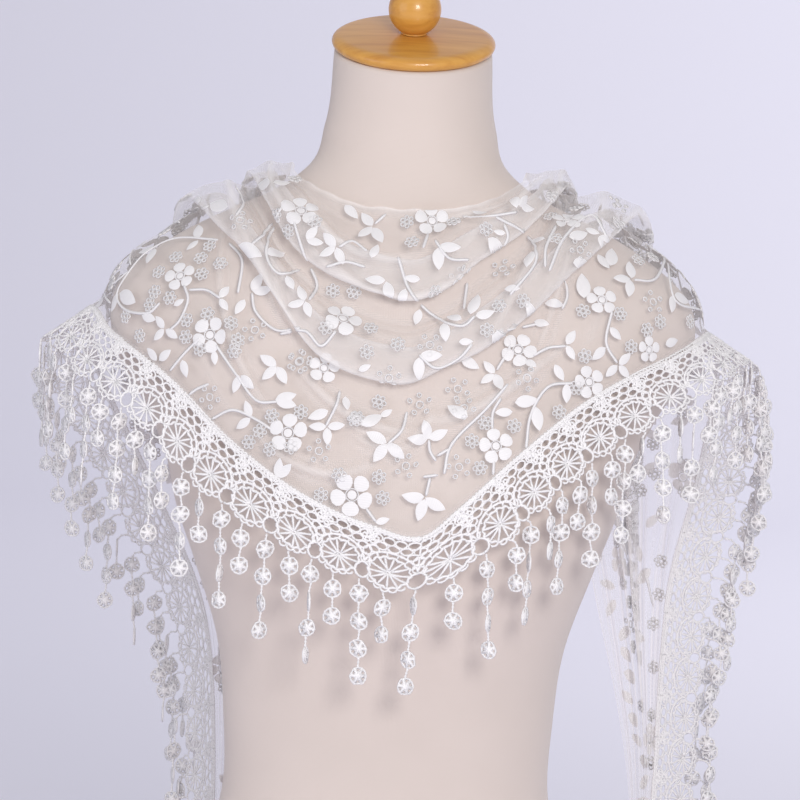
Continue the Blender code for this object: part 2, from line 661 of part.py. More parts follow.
def strand_rings(root, frame, offset):
    """Three-sided rings down one strand: thread, discs, thread between, from the root."""
    drop = np.array([0, 0, -1.0])
    stops = [(root + 0.5 * offset + drop * BEND_SHARE * ROOT_DROP, THREAD_WIDTH),
             (root + offset + drop * ROOT_DROP, THREAD_WIDTH)]
    for index in range(frame["discs"]):
        height = ROOT_DROP + (index + 0.5) * DISC_PITCH
        stops.append((root + offset + drop * height, DISC_WIDTH))
        stops.append((root + offset + drop * (height + DISC_PITCH / 2), THREAD_WIDTH))
    rings = []
    for centre, width in stops:
        depth = frame["face"] * STRAND_THICKNESS / 2
        across = frame["side_way"] * width / 2
        rings.append([centre - across + depth, centre + across + depth, centre - depth])
    return rings


def make_fringe():
    """Narrow strips beside the lace's edge, each with its strands fused to it."""
    for side, word in ((-1, "left"), (1, "right")):
        frames, offsets = hang_strands(side)
        for stretch, first, last in STRETCHES:
            name = "fringe_%s_%s" % (stretch, word)
            strip = fringe_strip(name, side, first, last, frames, offsets)
            give_material(strip, WHITE_THREAD, 0.6)


def fringe_strip(name, side, first, last, frames, offsets):
    """One strip of three-sided section, with a strand at every joint and wheel."""
    places = [k / 2 for k in range(2 * first, 2 * last + 1)]
    if not (side == 1 and first == 0):
        places = places[1:]
    if last == REPEATS_PER_LEG:
        places = places[:-1]
    where = np.repeat(places, 2)
    shift = np.tile([-ROOT_HALF, ROOT_HALF], len(places))
    stations = station_at(side, where, shift)
    if side == 1 and first == 0:
        stations[0] = -abs(station_at(-1, 0, ROOT_HALF))
    depth = edge_depth(where)
    edge = border_points(stations, depth)
    outward = unit(edge - border_points(stations, depth - INNER_STEP))
    tangent = unit(np.gradient(edge, axis=0))
    normal = unit(np.cross(outward, tangent)) * side
    near = edge + outward * STRIP_GAP
    far = near + outward * STRIP_DEPTH
    front = far + normal * LACE_WALL / 2
    back = far - normal * LACE_WALL / 2
    count = len(where)
    corners = [corner for ring in zip(near, front, back) for corner in ring]
    faces = [(0, 1, 2), (3 * count - 1, 3 * count - 2, 3 * count - 3)]
    for k in range(count - 1):
        a = 3 * k
        b = a + 3
        faces.append((a, b, b + 1, a + 1))
        faces.append((a + 2, b + 2, b, a))
        if k % 2 == 0:
            faces.append((a + 2, b + 1, b + 2))
            half = int(round(2 * places[k // 2]))
            root = (front[k] + front[k + 1] + back[k]) / 3
            ring = [a + 1, b + 1, a + 2]
            way = outward[k]
            down = np.array([0, 0, -1.0])
            for section in strand_rings(root, frames[half], offsets[half]):
                start = len(corners)
                corners += match_ring([corners[i] for i in ring], section, way, down)
                way = down
                new = [start, start + 1, start + 2]
                for i in range(3):
                    j = (i + 1) % 3
                    faces.append((ring[i], ring[j], new[j], new[i]))
                ring = new
            faces.append(tuple(ring))
        else:
            faces.append((a + 1, b + 1, b + 2, a + 2))
    return mesh_object(name, corners, faces)


def match_ring(before, section, way, next_way):
    """The ring's corners, turning as the ring before does, in the place that twists least."""
    before_middle = sum(before) / 3
    middle = sum(section) / 3
    sense = np.cross(before[1] - before[0], before[2] - before[0]) @ way
    next_sense = np.cross(section[1] - section[0], section[2] - section[0]) @ next_way
    if sense * next_sense < 0:
        section = section[::-1]
    turns = [section[i:] + section[:i] for i in range(3)]
    return min(turns, key=lambda ring: sum(
        np.linalg.norm((a - before_middle) - (b - middle)) for a, b in zip(before, ring)))


for old in list(bpy.data.objects):
    bpy.data.objects.remove(old, do_unlink=True)
make_torso()
make_cap_and_knob()
make_cloth()
make_border()
make_fringe()
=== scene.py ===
# Lace shawl worn point to the front on a limbless dress form, in plain soft studio light.
# Metres, +Z up, the front faces -Y. Every new piece lies at the origin with its place in its mesh.

import bpy
import math
import numpy as np
from mathutils import Matrix


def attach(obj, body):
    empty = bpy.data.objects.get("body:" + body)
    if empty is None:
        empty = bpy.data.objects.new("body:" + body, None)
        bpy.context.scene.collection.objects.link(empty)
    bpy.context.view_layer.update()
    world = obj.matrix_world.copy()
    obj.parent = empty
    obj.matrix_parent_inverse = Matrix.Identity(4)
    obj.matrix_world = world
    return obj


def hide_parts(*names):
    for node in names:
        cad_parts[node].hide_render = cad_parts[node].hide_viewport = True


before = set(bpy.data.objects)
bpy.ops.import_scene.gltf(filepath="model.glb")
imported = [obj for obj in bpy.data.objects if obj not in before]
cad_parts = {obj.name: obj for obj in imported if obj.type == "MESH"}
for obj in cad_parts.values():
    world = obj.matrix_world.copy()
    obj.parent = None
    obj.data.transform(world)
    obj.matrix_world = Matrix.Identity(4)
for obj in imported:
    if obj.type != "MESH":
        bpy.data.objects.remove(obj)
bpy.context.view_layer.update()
chance = np.random.default_rng(7)

# The camera comes first: it also tells where a flower seen in the picture lies on the cloth.
cameraSetup = {
    "distance": 2.2,                # to the point looked at
    "target": (0.0, 0.0, 0.510),
    "lookDown": 5.0,                # degrees
    "roll": 2.2,                    # degrees
    "lens": 150.0,                  # millimetres, as the sensor
    "sensor": 36.0,
    "reach": 60.0,                  # metres, well past the backdrop
    "picture": 800.0,               # pixels each way
}


def cameraAxes():
    # Right, up, forward and place: turned down by lookDown, then rolled about its own axis.
    down = math.radians(cameraSetup["lookDown"])
    roll = math.radians(cameraSetup["roll"])
    forward = np.array([0, math.cos(down), -math.sin(down)])
    level = np.array([1.0, 0, 0])
    top = np.cross(level, forward)
    right = level * math.cos(roll) + top * math.sin(roll)
    up = top * math.cos(roll) - level * math.sin(roll)
    return right, up, forward, np.array(cameraSetup["target"]) - forward * cameraSetup["distance"]


def inPicture(points):
    # Column, row and depth of points in the picture: distance across over distance away.
    right, up, forward, eye = cameraAxes()
    away = points - eye
    depth = away @ forward
    focal = cameraSetup["lens"] / cameraSetup["sensor"] * cameraSetup["picture"]
    half = cameraSetup["picture"] / 2
    column = half + focal * (away @ right) / depth
    row = half - focal * (away @ up) / depth
    return np.stack([column, row, depth], -1)


def addCamera():
    right, up, forward, eye = cameraAxes()
    data = bpy.data.cameras.new("studioCamera")
    data.lens = cameraSetup["lens"]
    data.sensor_width = cameraSetup["sensor"]
    data.clip_end = cameraSetup["reach"]
    camera = bpy.data.objects.new("studioCamera", data)
    bpy.context.scene.collection.objects.link(camera)
    rows = [[right[i], up[i], -forward[i], eye[i]] for i in range(3)]
    camera.matrix_world = Matrix(rows + [[0, 0, 0, 1]])
    bpy.context.scene.camera = camera
    print("camera placed")


# Mesh helpers. A bundle gathers blocks of points, faces and face-corner UVs for one piece.
threadRound = 0.004                 # metres of the thread pattern round a tube


def newBundle():
    return {"points": [], "faces": {3: [], 4: []}, "uv": {3: [], 4: []}, "tone": [], "count": 0}


def pairs(first, second):
    # Two arrays side by side, each spread to the other's shape.
    return np.stack(np.broadcast_arrays(first, second), -1)


def unit(vectors):
    return vectors / (np.linalg.norm(vectors, axis=-1, keepdims=True) + 1e-12)


def runLength(lines):
    # Length along each line of points, from 0 at its start.
    steps = np.linalg.norm(np.diff(lines, axis=-2), axis=-1)
    return np.concatenate([np.zeros(steps.shape[:-1] + (1,)), np.cumsum(steps, -1)], -1)


def addGrid(bundle, points, uv, wrapRows=False, wrapColumns=False, flip=False, tone=0.0):
    # Faces between neighbours of a grid (copies, rows, columns); a wrapped side joins its ends.
    copies, rows, columns = points.shape[:3]
    i = np.arange(rows if wrapRows else rows - 1)[:, None]
    j = np.arange(columns if wrapColumns else columns - 1)[None, :]
    order = [(0, 0), (0, 1), (1, 1), (1, 0)]
    if flip:
        order = order[::-1]
    index = np.stack([(i + a) % rows * columns + (j + b) % columns for a, b in order], -1)
    corner = np.stack([uv[:, i + a, j + b] for a, b in order], -2)
    start = bundle["count"] + np.arange(copies)[:, None, None] * rows * columns
    bundle["faces"][4].append((index.reshape(1, -1, 4) + start).reshape(-1, 4))
    bundle["uv"][4].append(corner.reshape(-1, 4, 2))
    bundle["points"].append(points.reshape(-1, 3))
    bundle["tone"].append(np.broadcast_to(tone, points.shape[:3]).ravel())
    bundle["count"] += copies * rows * columns


def addTubes(bundle, lines, normals, halfWide, halfHigh, sides=4, closed=False):
    # Flattened round section carried along each line: line + wide * cos(turn) * across + high *
    # sin(turn) * up, where up is the cloth's outward way made square to the line.
    copies, count = lines.shape[:2]
    if closed:
        way = np.roll(lines, -1, 1) - np.roll(lines, 1, 1)
    else:
        way = np.gradient(lines, axis=1)
    way = unit(way)
    across = unit(np.cross(np.broadcast_to(normals, lines.shape), way))
    up = np.cross(way, across)
    turn = (np.arange(sides) * 2 * math.pi / sides)[:, None]
    wide = np.broadcast_to(np.asarray(halfWide, float), (copies, count))[:, :, None, None]
    high = np.broadcast_to(np.asarray(halfHigh, float), (copies, count))[:, :, None, None]
    points = (lines[:, :, None] + wide * np.cos(turn) * across[:, :, None]
              + high * np.sin(turn) * up[:, :, None])
    rows = count + 1 if closed else count
    length = runLength(lines)
    along = np.concatenate([length, length[:, -1:] + length[:, 1:2]], 1)[:, :rows]
    around = np.arange(sides + 1) / sides * threadRound
    start = bundle["count"] + np.arange(copies)[:, None] * count * sides
    addGrid(bundle, points, pairs(along[:, :, None], around), wrapRows=closed, wrapColumns=True)
    if not closed:
        ring = np.arange(sides)
        ends = np.concatenate([start + ring[::-1], start + (count - 1) * sides + ring])
        bundle["faces"][sides].append(ends)
        bundle["uv"][sides].append(np.zeros((len(ends), sides, 2)))


def bundleMesh(name, bundle, material, slotName):
    # One piece from a bundle: its faces are smooth, its UVs lie in metres along and across.
    points = np.concatenate(bundle["points"])
    faces = []
    uv = []
    for size in (4, 3):
        if bundle["faces"][size]:
            faces += np.concatenate(bundle["faces"][size]).tolist()
            uv.append(np.concatenate(bundle["uv"][size]).reshape(-1, 2))
    mesh = bpy.data.meshes.new(name)
    mesh.from_pydata(points.tolist(), [], faces)
    layer = mesh.uv_layers.new(name="threads")
    layer.data.foreach_set("uv", np.concatenate(uv).astype(np.float32).ravel())
    tone = mesh.attributes.new("tone", "FLOAT", "POINT")
    tone.data.foreach_set("value", np.concatenate(bundle["tone"]).astype(np.float32))
    mesh.shade_smooth()
    return placePiece(name, mesh, material, slotName)


def placePiece(name, mesh, material, slotName):
    piece = bpy.data.objects.new(name, mesh)
    bpy.context.scene.collection.objects.link(piece)
    mesh.materials.append(material)
    if slotName:
        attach(piece, "root")
    return piece


def readRows(table, place):
    # Smooth cubic through a table's rows; the first column is the place along it.
    place = np.asarray(place, float)
    keys = table[:, 0]
    values = table[:, 1:]
    slopes = np.gradient(values, keys, axis=0)
    row = np.clip(np.searchsorted(keys, place, side="right") - 1, 0, len(keys) - 2)
    span = keys[row + 1] - keys[row]
    t = ((place - keys[row]) / span)[..., None]
    span = span[..., None]
    start = (1 + 2 * t) * (1 - t) ** 2 * values[row] + t * (1 - t) ** 2 * span * slopes[row]
    end = t * t * (3 - 2 * t) * values[row + 1] + t * t * (t - 1) * span * slopes[row + 1]
    return start + end


def readGrid(grid, row, column):
    # Value between the points of a grid: the mean of four neighbours weighted by nearness.
    row = np.clip(row, 0, grid.shape[0] - 1.001)
    column = np.clip(column, 0, grid.shape[1] - 1.001)
    i = row.astype(int)
    j = column.astype(int)
    a = (row - i)[..., None]
    b = (column - j)[..., None]
    return ((grid[i, j] * (1 - a) + grid[i + 1, j] * a) * (1 - b)
            + (grid[i, j + 1] * (1 - a) + grid[i + 1, j + 1] * a) * b)


def throughKnots(knots, steps):
    # Smooth curve through each row of knots, half of 2b + (c - a) t + (2a - 5b + 4c - d) t^2
    # + (3b - a - 3c + d) t^3 between the knots b and c, with so many steps to a stretch.
    before = 2 * knots[:, :1] - knots[:, 1:2]
    after = 2 * knots[:, -1:] - knots[:, -2:-1]
    padded = np.concatenate([before, knots, after], 1)
    t = np.linspace(0, 1, steps + 1)[:-1, None]
    a, b, c, d = (padded[:, i:knots.shape[1] - 1 + i, None] for i in range(4))
    square = 2 * a - 5 * b + 4 * c - d
    cube = 3 * b - a - 3 * c + d
    curve = 0.5 * (2 * b + (c - a) * t + square * t ** 2 + cube * t ** 3)
    return np.concatenate([curve.reshape(len(knots), -1, 2), knots[:, -1:]], 1)


def softStep(low, high, value):
    # 0 below low, 1 above high, and 3 t^2 - 2 t^3 between.
    t = np.clip((value - low) / (high - low), 0, 1)
    return t * t * (3 - 2 * t)


# The form: cross sections with height, half width, front, back and squareness of the outline
formSections = np.array([
    (0.000, 0.147, -0.103, 0.104, 2.2),
    (0.008, 0.151, -0.107, 0.108, 2.2),
    (0.050, 0.157, -0.109, 0.113, 2.2),
    (0.110, 0.153, -0.105, 0.110, 2.2),
    (0.170, 0.133, -0.096, 0.094, 2.2),
    (0.215, 0.116, -0.089, 0.078, 2.2),
    (0.252, 0.108, -0.085, 0.070, 2.2),
    (0.300, 0.109, -0.087, 0.070, 2.2),
    (0.350, 0.1145, -0.096, 0.076, 2.25),
    (0.400, 0.130, -0.113, 0.083, 2.3),
    (0.440, 0.144, -0.124, 0.088, 2.35),
    (0.475, 0.153, -0.122, 0.091, 2.35),
    (0.505, 0.168, -0.114, 0.093, 2.3),
    (0.535, 0.186, -0.104, 0.092, 2.3),
    (0.560, 0.192, -0.096, 0.089, 2.3),
    (0.585, 0.185, -0.086, 0.083, 2.3),
    (0.602, 0.167, -0.078, 0.077, 2.25),
    (0.618, 0.143, -0.070, 0.070, 2.2),
    (0.632, 0.116, -0.063, 0.063, 2.1),
    (0.646, 0.087, -0.057, 0.057, 2.0),
    (0.662, 0.066, -0.052, 0.052, 2.0),
    (0.690, 0.056, -0.049, 0.049, 2.0),
    (0.7405, 0.0515, -0.0505, 0.0505, 2.0),
])
formSize = {
    "neckTop": 0.7405,
    "tiltStart": 0.695,
    "tilt": 18.0,                   # degrees, the cut neck slopes towards the front
    "sides": 128,
    "rings": 200,
    "footRound": 0.004,
    "coverRound": 0.85,             # metres of the cover's weave round the form
    "coverHigh": 0.80,              # and up it
}


def formLevel(points):
    # Below 0 inside the form, 0 on its cover: (|x| / a)^p + (|y| / b)^p to the power 1/p, less 1.
    height = np.clip(points[..., 2], formSections[0, 0], formSections[-1, 0])
    halfWidth, front, back, power = np.moveaxis(readRows(formSections, height), -1, 0)
    across = np.abs(points[..., 0]) / halfWidth
    deep = np.abs(points[..., 1] - (front + back) / 2) / ((back - front) / 2)
    return (across ** power + deep ** power) ** (1 / power) - 1


def formGap(points):
    # Distance to the form's cover and the way out of it, from the slope of formLevel.
    step = 0.001
    level = formLevel(points)
    slope = np.stack([(formLevel(points + shift) - formLevel(points - shift)) / (2 * step)
                      for shift in np.eye(3) * step], -1)
    steep = np.linalg.norm(slope, axis=-1, keepdims=True) + 1e-9
    return level / steep[..., 0], slope / steep


def keepClear(points, clearance, softness=0.004, rounds=4):
    # Points moved softly outwards until they clear the form: short being the clearance less the
    # gap, each round pushes by 0.6 of half of (short + root of short^2 + softness^2).
    for _ in range(rounds):
        gap, away = formGap(points)
        short = clearance - gap
        push = 0.5 * (short + np.sqrt(short ** 2 + softness ** 2)) - softness * 0.12
        push = np.where(short > -3 * softness, np.maximum(push, 0), 0)
        points = points + 0.6 * push[..., None] * away
    return points


def makeForm(material):
    # Surface of height and turn: x = a |cos|^(2/p), y = b |sin|^(2/p) with the section's a, b, p;
    # near the top it is sheared down towards the front, and both ends are closed by small rings.
    quarter = np.linspace(0, math.pi / 2, 6)
    low = formSize["footRound"] * (1 - np.cos(quarter))
    heights = np.concatenate([low[:-1], np.linspace(low[-1], formSize["neckTop"], formSize["rings"])])
    inset = formSize["footRound"] * (1 - np.sin(quarter[:-1]))
    inset = np.concatenate([inset, np.zeros(formSize["rings"])])[:, None]
    halfWidth, front, back, power = np.moveaxis(readRows(formSections, heights), -1, 0)[:, :, None]
    turn = np.linspace(0, 2 * math.pi, formSize["sides"], endpoint=False)[None, :]
    x = np.sign(np.cos(turn)) * np.abs(np.cos(turn)) ** (2 / power) * (halfWidth - inset)
    y = np.sign(np.sin(turn)) * np.abs(np.sin(turn)) ** (2 / power)
    y = y * ((back - front) / 2 - inset) + (front + back) / 2
    share = (heights - formSize["tiltStart"]) / (formSize["neckTop"] - formSize["tiltStart"])
    slope = math.tan(math.radians(formSize["tilt"]))
    z = heights[:, None] + np.clip(share, 0, 1)[:, None] * slope * y
    wall = np.stack([x, y, z], -1)
    shrink = np.array([0.9, 0.6, 0.3, 0.001])[:, None, None]
    foot = wall[0].mean(0) + (wall[0] - wall[0].mean(0)) * shrink[::-1]
    head = wall[-1].mean(0) + (wall[-1] - wall[-1].mean(0)) * shrink
    points = np.concatenate([foot, wall, head])[None]
    around = np.arange(formSize["sides"] + 1) / formSize["sides"] * formSize["coverRound"]
    up = np.linspace(0, formSize["coverHigh"], points.shape[1])
    bundle = newBundle()
    addGrid(bundle, points, pairs(around, up[:, None])[None], wrapColumns=True)
    form = bundleMesh("linen_form", bundle, material, "form_cover")
    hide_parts("dress_form_torso")
    print("form covered")


# Cap and knob: turned profiles of radius and height above the cut neck
capProfile = np.array([
    (0.0001, 0.0003), (0.020, 0.0003), (0.0475, 0.0003), (0.0497, 0.0005), (0.0515, 0.0012),
    (0.0528, 0.0024), (0.0534, 0.0038), (0.0535, 0.0050), (0.0530, 0.0064), (0.0519, 0.0076),
    (0.0500, 0.0086), (0.0478, 0.0091), (0.0440, 0.0094), (0.030, 0.0101), (0.0125, 0.0106),
    (0.0001, 0.0107),
])
# The knob's foot: radius and height above its seat on the cap
knobFoot = np.array([(0.0001, 0), (0.006, 0), (0.0083, 0), (0.0086, 0.0006), (0.0080, 0.0016)])
knobSize = {
    "radius": 0.0172,
    "neck": 0.0078,                 # radius where the ball meets its foot
    "seat": 0.0110,
    "sink": 0.93,                   # height of the ball's middle above the seat, in radii
    "sides": 96,
    "patternStep": 0.001,
}


def turnedPiece(name, profile, node, material):
    # Profile (radius, height) carried round the neck's sloping axis.
    fine = np.linspace(0, len(profile) - 1, len(profile) * 4)
    table = np.column_stack([np.arange(len(profile)), profile])
    radius, height = readRows(table, fine).T
    radius = np.maximum(radius, 0.0001)
    turn = np.linspace(0, 2 * math.pi, knobSize["sides"], endpoint=False)
    x = radius[:, None] * np.cos(turn)
    y = radius[:, None] * np.sin(turn)
    z = np.broadcast_to(height[:, None], x.shape)
    slope = math.radians(formSize["tilt"])
    points = np.stack([x, y * math.cos(slope) - z * math.sin(slope),
                       y * math.sin(slope) + z * math.cos(slope) + formSize["neckTop"]], -1)[None]
    uv = pairs(np.arange(len(turn) + 1), fine[:, None])[None] * knobSize["patternStep"]
    bundle = newBundle()
    addGrid(bundle, points, uv, wrapColumns=True)
    piece = bundleMesh(name, bundle, material, "cap_wood")
    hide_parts(node)


def makeCapAndKnob(material):
    # The knob's profile is its foot and then a ball: radius * sin(turn), centre - radius * cos(turn).
    turnedPiece("wooden_cap", capProfile, "dress_form_neck_cap", material)
    radius = knobSize["radius"]
    centre = knobSize["seat"] + radius * knobSize["sink"]
    start = math.asin(knobSize["neck"] / radius)
    turns = np.linspace(start + 0.12, math.pi, 26)
    ball = np.stack([radius * np.sin(turns), centre - radius * np.cos(turns)], -1)
    profile = np.concatenate([knobFoot + [0, knobSize["seat"]], ball])
    turnedPiece("wooden_knob", profile, "dress_form_knob", material)
    print("cap and knob turned")


# The shawl's lines: station, x, y, z. Station 0 is the middle of the front, -1 and 1 the tops of
# the shoulders, -2 and 2 the tips of the two ends behind.
neckEdge = np.array([
    (-2.00, -0.112, 0.112, 0.097),
    (-1.80, -0.098, 0.112, 0.235),
    (-1.60, -0.096, 0.112, 0.378),
    (-1.35, -0.088, 0.098, 0.530),
    (-1.15, -0.080, 0.052, 0.626),
    (-1.00, -0.074, 0.008, 0.656),
    (-0.75, -0.067, -0.024, 0.650),
    (-0.50, -0.051, -0.046, 0.641),
    (-0.25, -0.028, -0.057, 0.636),
    (0.00, 0.002, -0.061, 0.635),
    (0.25, 0.030, -0.057, 0.636),
    (0.50, 0.052, -0.046, 0.641),
    (0.75, 0.067, -0.024, 0.648),
    (1.00, 0.074, 0.008, 0.654),
    (1.15, 0.080, 0.052, 0.626),
    (1.35, 0.099, 0.098, 0.530),
    (1.60, 0.139, 0.115, 0.378),
    (1.80, 0.170, 0.110, 0.235),
    (2.00, 0.174, 0.110, 0.097),
])
laceSeam = np.array([
    (-2.00, -0.120, 0.112, 0.095),
    (-1.80, -0.120, 0.113, 0.245),
    (-1.60, -0.129, 0.114, 0.340),
    (-1.35, -0.163, 0.106, 0.425),
    (-1.15, -0.202, 0.060, 0.515),
    (-1.00, -0.208, 0.012, 0.563),
    (-0.85, -0.181, -0.040, 0.551),
    (-0.67, -0.146, -0.076, 0.527),
    (-0.47, -0.106, -0.103, 0.491),
    (-0.28, -0.060, -0.127, 0.461),
    (-0.12, -0.015, -0.133, 0.443),
    (0.00, 0.017, -0.132, 0.437),
    (0.10, 0.039, -0.131, 0.455),
    (0.25, 0.070, -0.122, 0.484),
    (0.44, 0.110, -0.101, 0.517),
    (0.66, 0.157, -0.063, 0.545),
    (0.85, 0.190, -0.020, 0.561),
    (1.00, 0.206, 0.020, 0.558),
    (1.15, 0.211, 0.055, 0.522),
    (1.35, 0.206, 0.092, 0.455),
    (1.60, 0.190, 0.107, 0.365),
    (1.80, 0.187, 0.110, 0.240),
    (2.00, 0.186, 0.110, 0.095),
])
laceEdge = np.array([
    (-2.00, -0.146, 0.132, 0.092),
    (-1.80, -0.142, 0.133, 0.235),
    (-1.60, -0.152, 0.134, 0.325),
    (-1.35, -0.192, 0.118, 0.408),
    (-1.15, -0.234, 0.070, 0.498),
    (-1.00, -0.239, 0.014, 0.541),
    (-0.85, -0.204, -0.046, 0.522),
    (-0.67, -0.166, -0.083, 0.496),
    (-0.47, -0.125, -0.108, 0.458),
    (-0.28, -0.070, -0.133, 0.427),
    (-0.12, -0.024, -0.137, 0.408),
    (0.00, 0.014, -0.136, 0.401),
    (0.10, 0.058, -0.134, 0.425),
    (0.25, 0.093, -0.123, 0.456),
    (0.44, 0.131, -0.102, 0.488),
    (0.66, 0.179, -0.066, 0.517),
    (0.85, 0.215, -0.022, 0.538),
    (1.00, 0.237, 0.022, 0.540),
    (1.15, 0.245, 0.062, 0.510),
    (1.35, 0.241, 0.102, 0.449),
    (1.60, 0.222, 0.118, 0.361),
    (1.80, 0.218, 0.122, 0.238),
    (2.00, 0.216, 0.124, 0.092),
])
# The two large folds: station, lower edge from neck 0 to seam 1, depth of the lap, height of the
# outer layer, and 1 where the cloth is doubled back or 0 where it is a wave
upperFold = np.array([
    (-2.00, 0.30, 0.0020, 0.001, 0.0),
    (-1.60, 0.30, 0.0080, 0.008, 0.0),
    (-1.25, 0.25, 0.0150, 0.010, 0.8),
    (-1.00, 0.20, 0.0170, 0.012, 1.0),
    (-0.78, 0.20, 0.0200, 0.012, 1.0),
    (-0.45, 0.285, 0.0260, 0.010, 1.0),
    (-0.22, 0.300, 0.0290, 0.009, 1.0),
    (0.00, 0.310, 0.0300, 0.009, 1.0),
    (0.13, 0.305, 0.0290, 0.009, 1.0),
    (0.28, 0.260, 0.0260, 0.010, 1.0),
    (0.50, 0.235, 0.0240, 0.010, 1.0),
    (0.76, 0.195, 0.0200, 0.012, 1.0),
    (1.00, 0.20, 0.0170, 0.013, 1.0),
    (1.25, 0.25, 0.0150, 0.010, 0.8),
    (1.60, 0.30, 0.0050, 0.005, 0.0),
    (2.00, 0.30, 0.0020, 0.001, 0.0),
])
lowerFold = np.array([
    (-2.00, 0.68, 0.0020, 0.001, 0.0),
    (-1.60, 0.62, 0.0090, 0.009, 0.2),
    (-1.25, 0.55, 0.0150, 0.011, 1.0),
    (-1.00, 0.475, 0.0180, 0.012, 1.0),
    (-0.85, 0.440, 0.0200, 0.013, 1.0),
    (-0.66, 0.430, 0.0240, 0.011, 1.0),
    (-0.48, 0.470, 0.0260, 0.010, 1.0),
    (-0.30, 0.555, 0.0290, 0.010, 1.0),
    (-0.12, 0.570, 0.0310, 0.010, 1.0),
    (0.04, 0.545, 0.0300, 0.010, 1.0),
    (0.25, 0.565, 0.0280, 0.010, 1.0),
    (0.42, 0.550, 0.0260, 0.010, 1.0),
    (0.60, 0.500, 0.0240, 0.011, 1.0),
    (0.85, 0.490, 0.0200, 0.013, 1.0),
    (1.00, 0.530, 0.0180, 0.012, 1.0),
    (1.25, 0.58, 0.0160, 0.011, 1.0),
    (1.60, 0.62, 0.0150, 0.010, 1.0),
    (1.80, 0.64, 0.0080, 0.005, 0.4),
    (2.00, 0.68, 0.0020, 0.001, 0.0),
])
clothSize = {
    "flatLength": 1.42,             # along the long edge, before the lace
    "flatDepth": 0.385,             # from the long edge to the point
    "flatArea": 0.273,              # square metres
    "clearance": 0.0034,            # of the cloth's ground to the form's cover
    "nearest": 0.0016,              # of the creased cloth to the cover, at least
    "stations": 421,
    "rows": 161,
    "lip": 0.0015,                  # the raw neck edge stands a little proud
    "crest": 0.0025,                # low swell between the lower fold and the lace
    "alongScale": 0.36,             # metres of cloth to one station, for the creases
    "acrossScale": 0.27,            # metres of cloth from neck to seam, likewise
    "bow": 0.010,                   # how far a crease bows off its straight line
    "ripple": 0.0011,               # height of the ripple along the raw neck edge
    "rippleFade": 0.10,             # place across where it has nearly gone
    "crumple": 0.0007,              # height of the faint waves all over
    "turnDensity": 2.1,             # how much denser the net looks where it turns sharply
    "seamDensity": 0.6,             # at the lace seam; 1 at the neck edge
}
# Points of a fold: shares of its lap past its edge and of its lift, doubled back and as a wave
doubledBack = ((-1, 1), (-0.22, 1), (0, 0.75), (-0.22, 0.5), (-0.78, 0.5), (-1, 0.25), (-0.78, 0), (0.2, 0))
loweredWave = ((-1, 0.80), (-0.5, 1), (-0.1, 0.95), (0.3, 0.78), (0.7, 0.52), (1, 0.30), (1.3, 0.10), (1.7, 0))
# The most that a fold takes of the cloth's width: as a wave, and what doubling back adds
foldLimits = {"lap": (0.11, 0.16), "lift": (0.10, 0.15), "room": 0.56}
# Soft creases: start station and place across, end station and place across, half width
# and height in metres; a trough has a height below 0
creases = np.array([
    (-0.95, 0.30, -0.20, 0.62, 0.007, 0.0044),
    (-0.90, 0.42, -0.30, 0.78, 0.012, -0.0016),
    (-0.80, 0.60, -0.35, 0.90, 0.006, 0.0032),
    (-0.60, 0.20, -0.05, 0.42, 0.008, 0.0026),
    (-0.40, 0.10, 0.10, 0.24, 0.007, 0.0024),
    (0.98, 0.25, 0.20, 0.56, 0.007, 0.0048),
    (0.95, 0.36, 0.28, 0.70, 0.011, -0.0015),
    (0.92, 0.50, 0.35, 0.86, 0.006, 0.0044),
    (0.85, 0.15, 0.10, 0.36, 0.008, 0.0028),
    (0.70, 0.08, 0.15, 0.14, 0.006, 0.0020),
    (0.80, 0.72, 0.45, 0.95, 0.008, 0.0016),
    (-0.70, 0.78, -0.45, 0.95, 0.008, 0.0014),
    (-0.72, 0.44, -0.36, 0.70, 0.006, 0.0050),
    (-0.36, 0.76, 0.05, 0.79, 0.005, 0.0036),
    (0.00, 0.78, 0.48, 0.84, 0.006, 0.0042),
    (-0.19, 0.84, 0.05, 0.775, 0.004, 0.0026),
    (-0.42, 0.95, -0.10, 0.87, 0.004, 0.0024),
    (-0.60, 0.05, 0.05, 0.11, 0.0045, 0.0026),
    (0.55, 0.05, -0.02, 0.07, 0.0045, -0.0022),
    (-0.50, 0.15, 0.35, 0.165, 0.0045, 0.0024),
    (-0.88, 0.04, -0.42, 0.13, 0.007, 0.0052),
    (-1.02, 0.13, -0.60, 0.17, 0.006, 0.0046),
    (-1.08, 0.24, -0.72, 0.40, 0.008, 0.0042),
    (0.90, 0.05, 0.44, 0.12, 0.007, 0.0052),
    (1.05, 0.13, 0.68, 0.155, 0.006, 0.0058),
    (1.06, 0.40, 0.70, 0.47, 0.009, 0.0056),
    (0.98, 0.51, 0.68, 0.57, 0.008, 0.0036),
    (1.30, 0.06, 1.92, 0.10, 0.006, 0.0025),
    (1.35, 0.72, 1.92, 0.74, 0.006, 0.0040),
    (1.45, 0.90, 1.90, 0.92, 0.005, 0.0025),
    (-1.25, 0.12, -1.92, 0.10, 0.007, 0.0035),
    (-1.30, 0.45, -1.90, 0.48, 0.008, 0.0040),
    (-1.35, 0.70, -1.90, 0.74, 0.006, 0.0030),
    (-1.10, 0.20, -1.90, 0.35, 0.012, 0.0045),
    (-1.10, 0.60, -1.85, 0.62, 0.010, -0.0030),
    (-1.15, 0.80, -1.80, 0.85, 0.009, 0.0035),
    (1.10, 0.16, 1.90, 0.28, 0.011, 0.0032),
    (1.10, 0.45, 1.90, 0.48, 0.010, 0.0044),
    (1.15, 0.62, 1.85, 0.66, 0.010, -0.0030),
    (1.12, 0.85, 1.85, 0.86, 0.009, 0.0036),
])
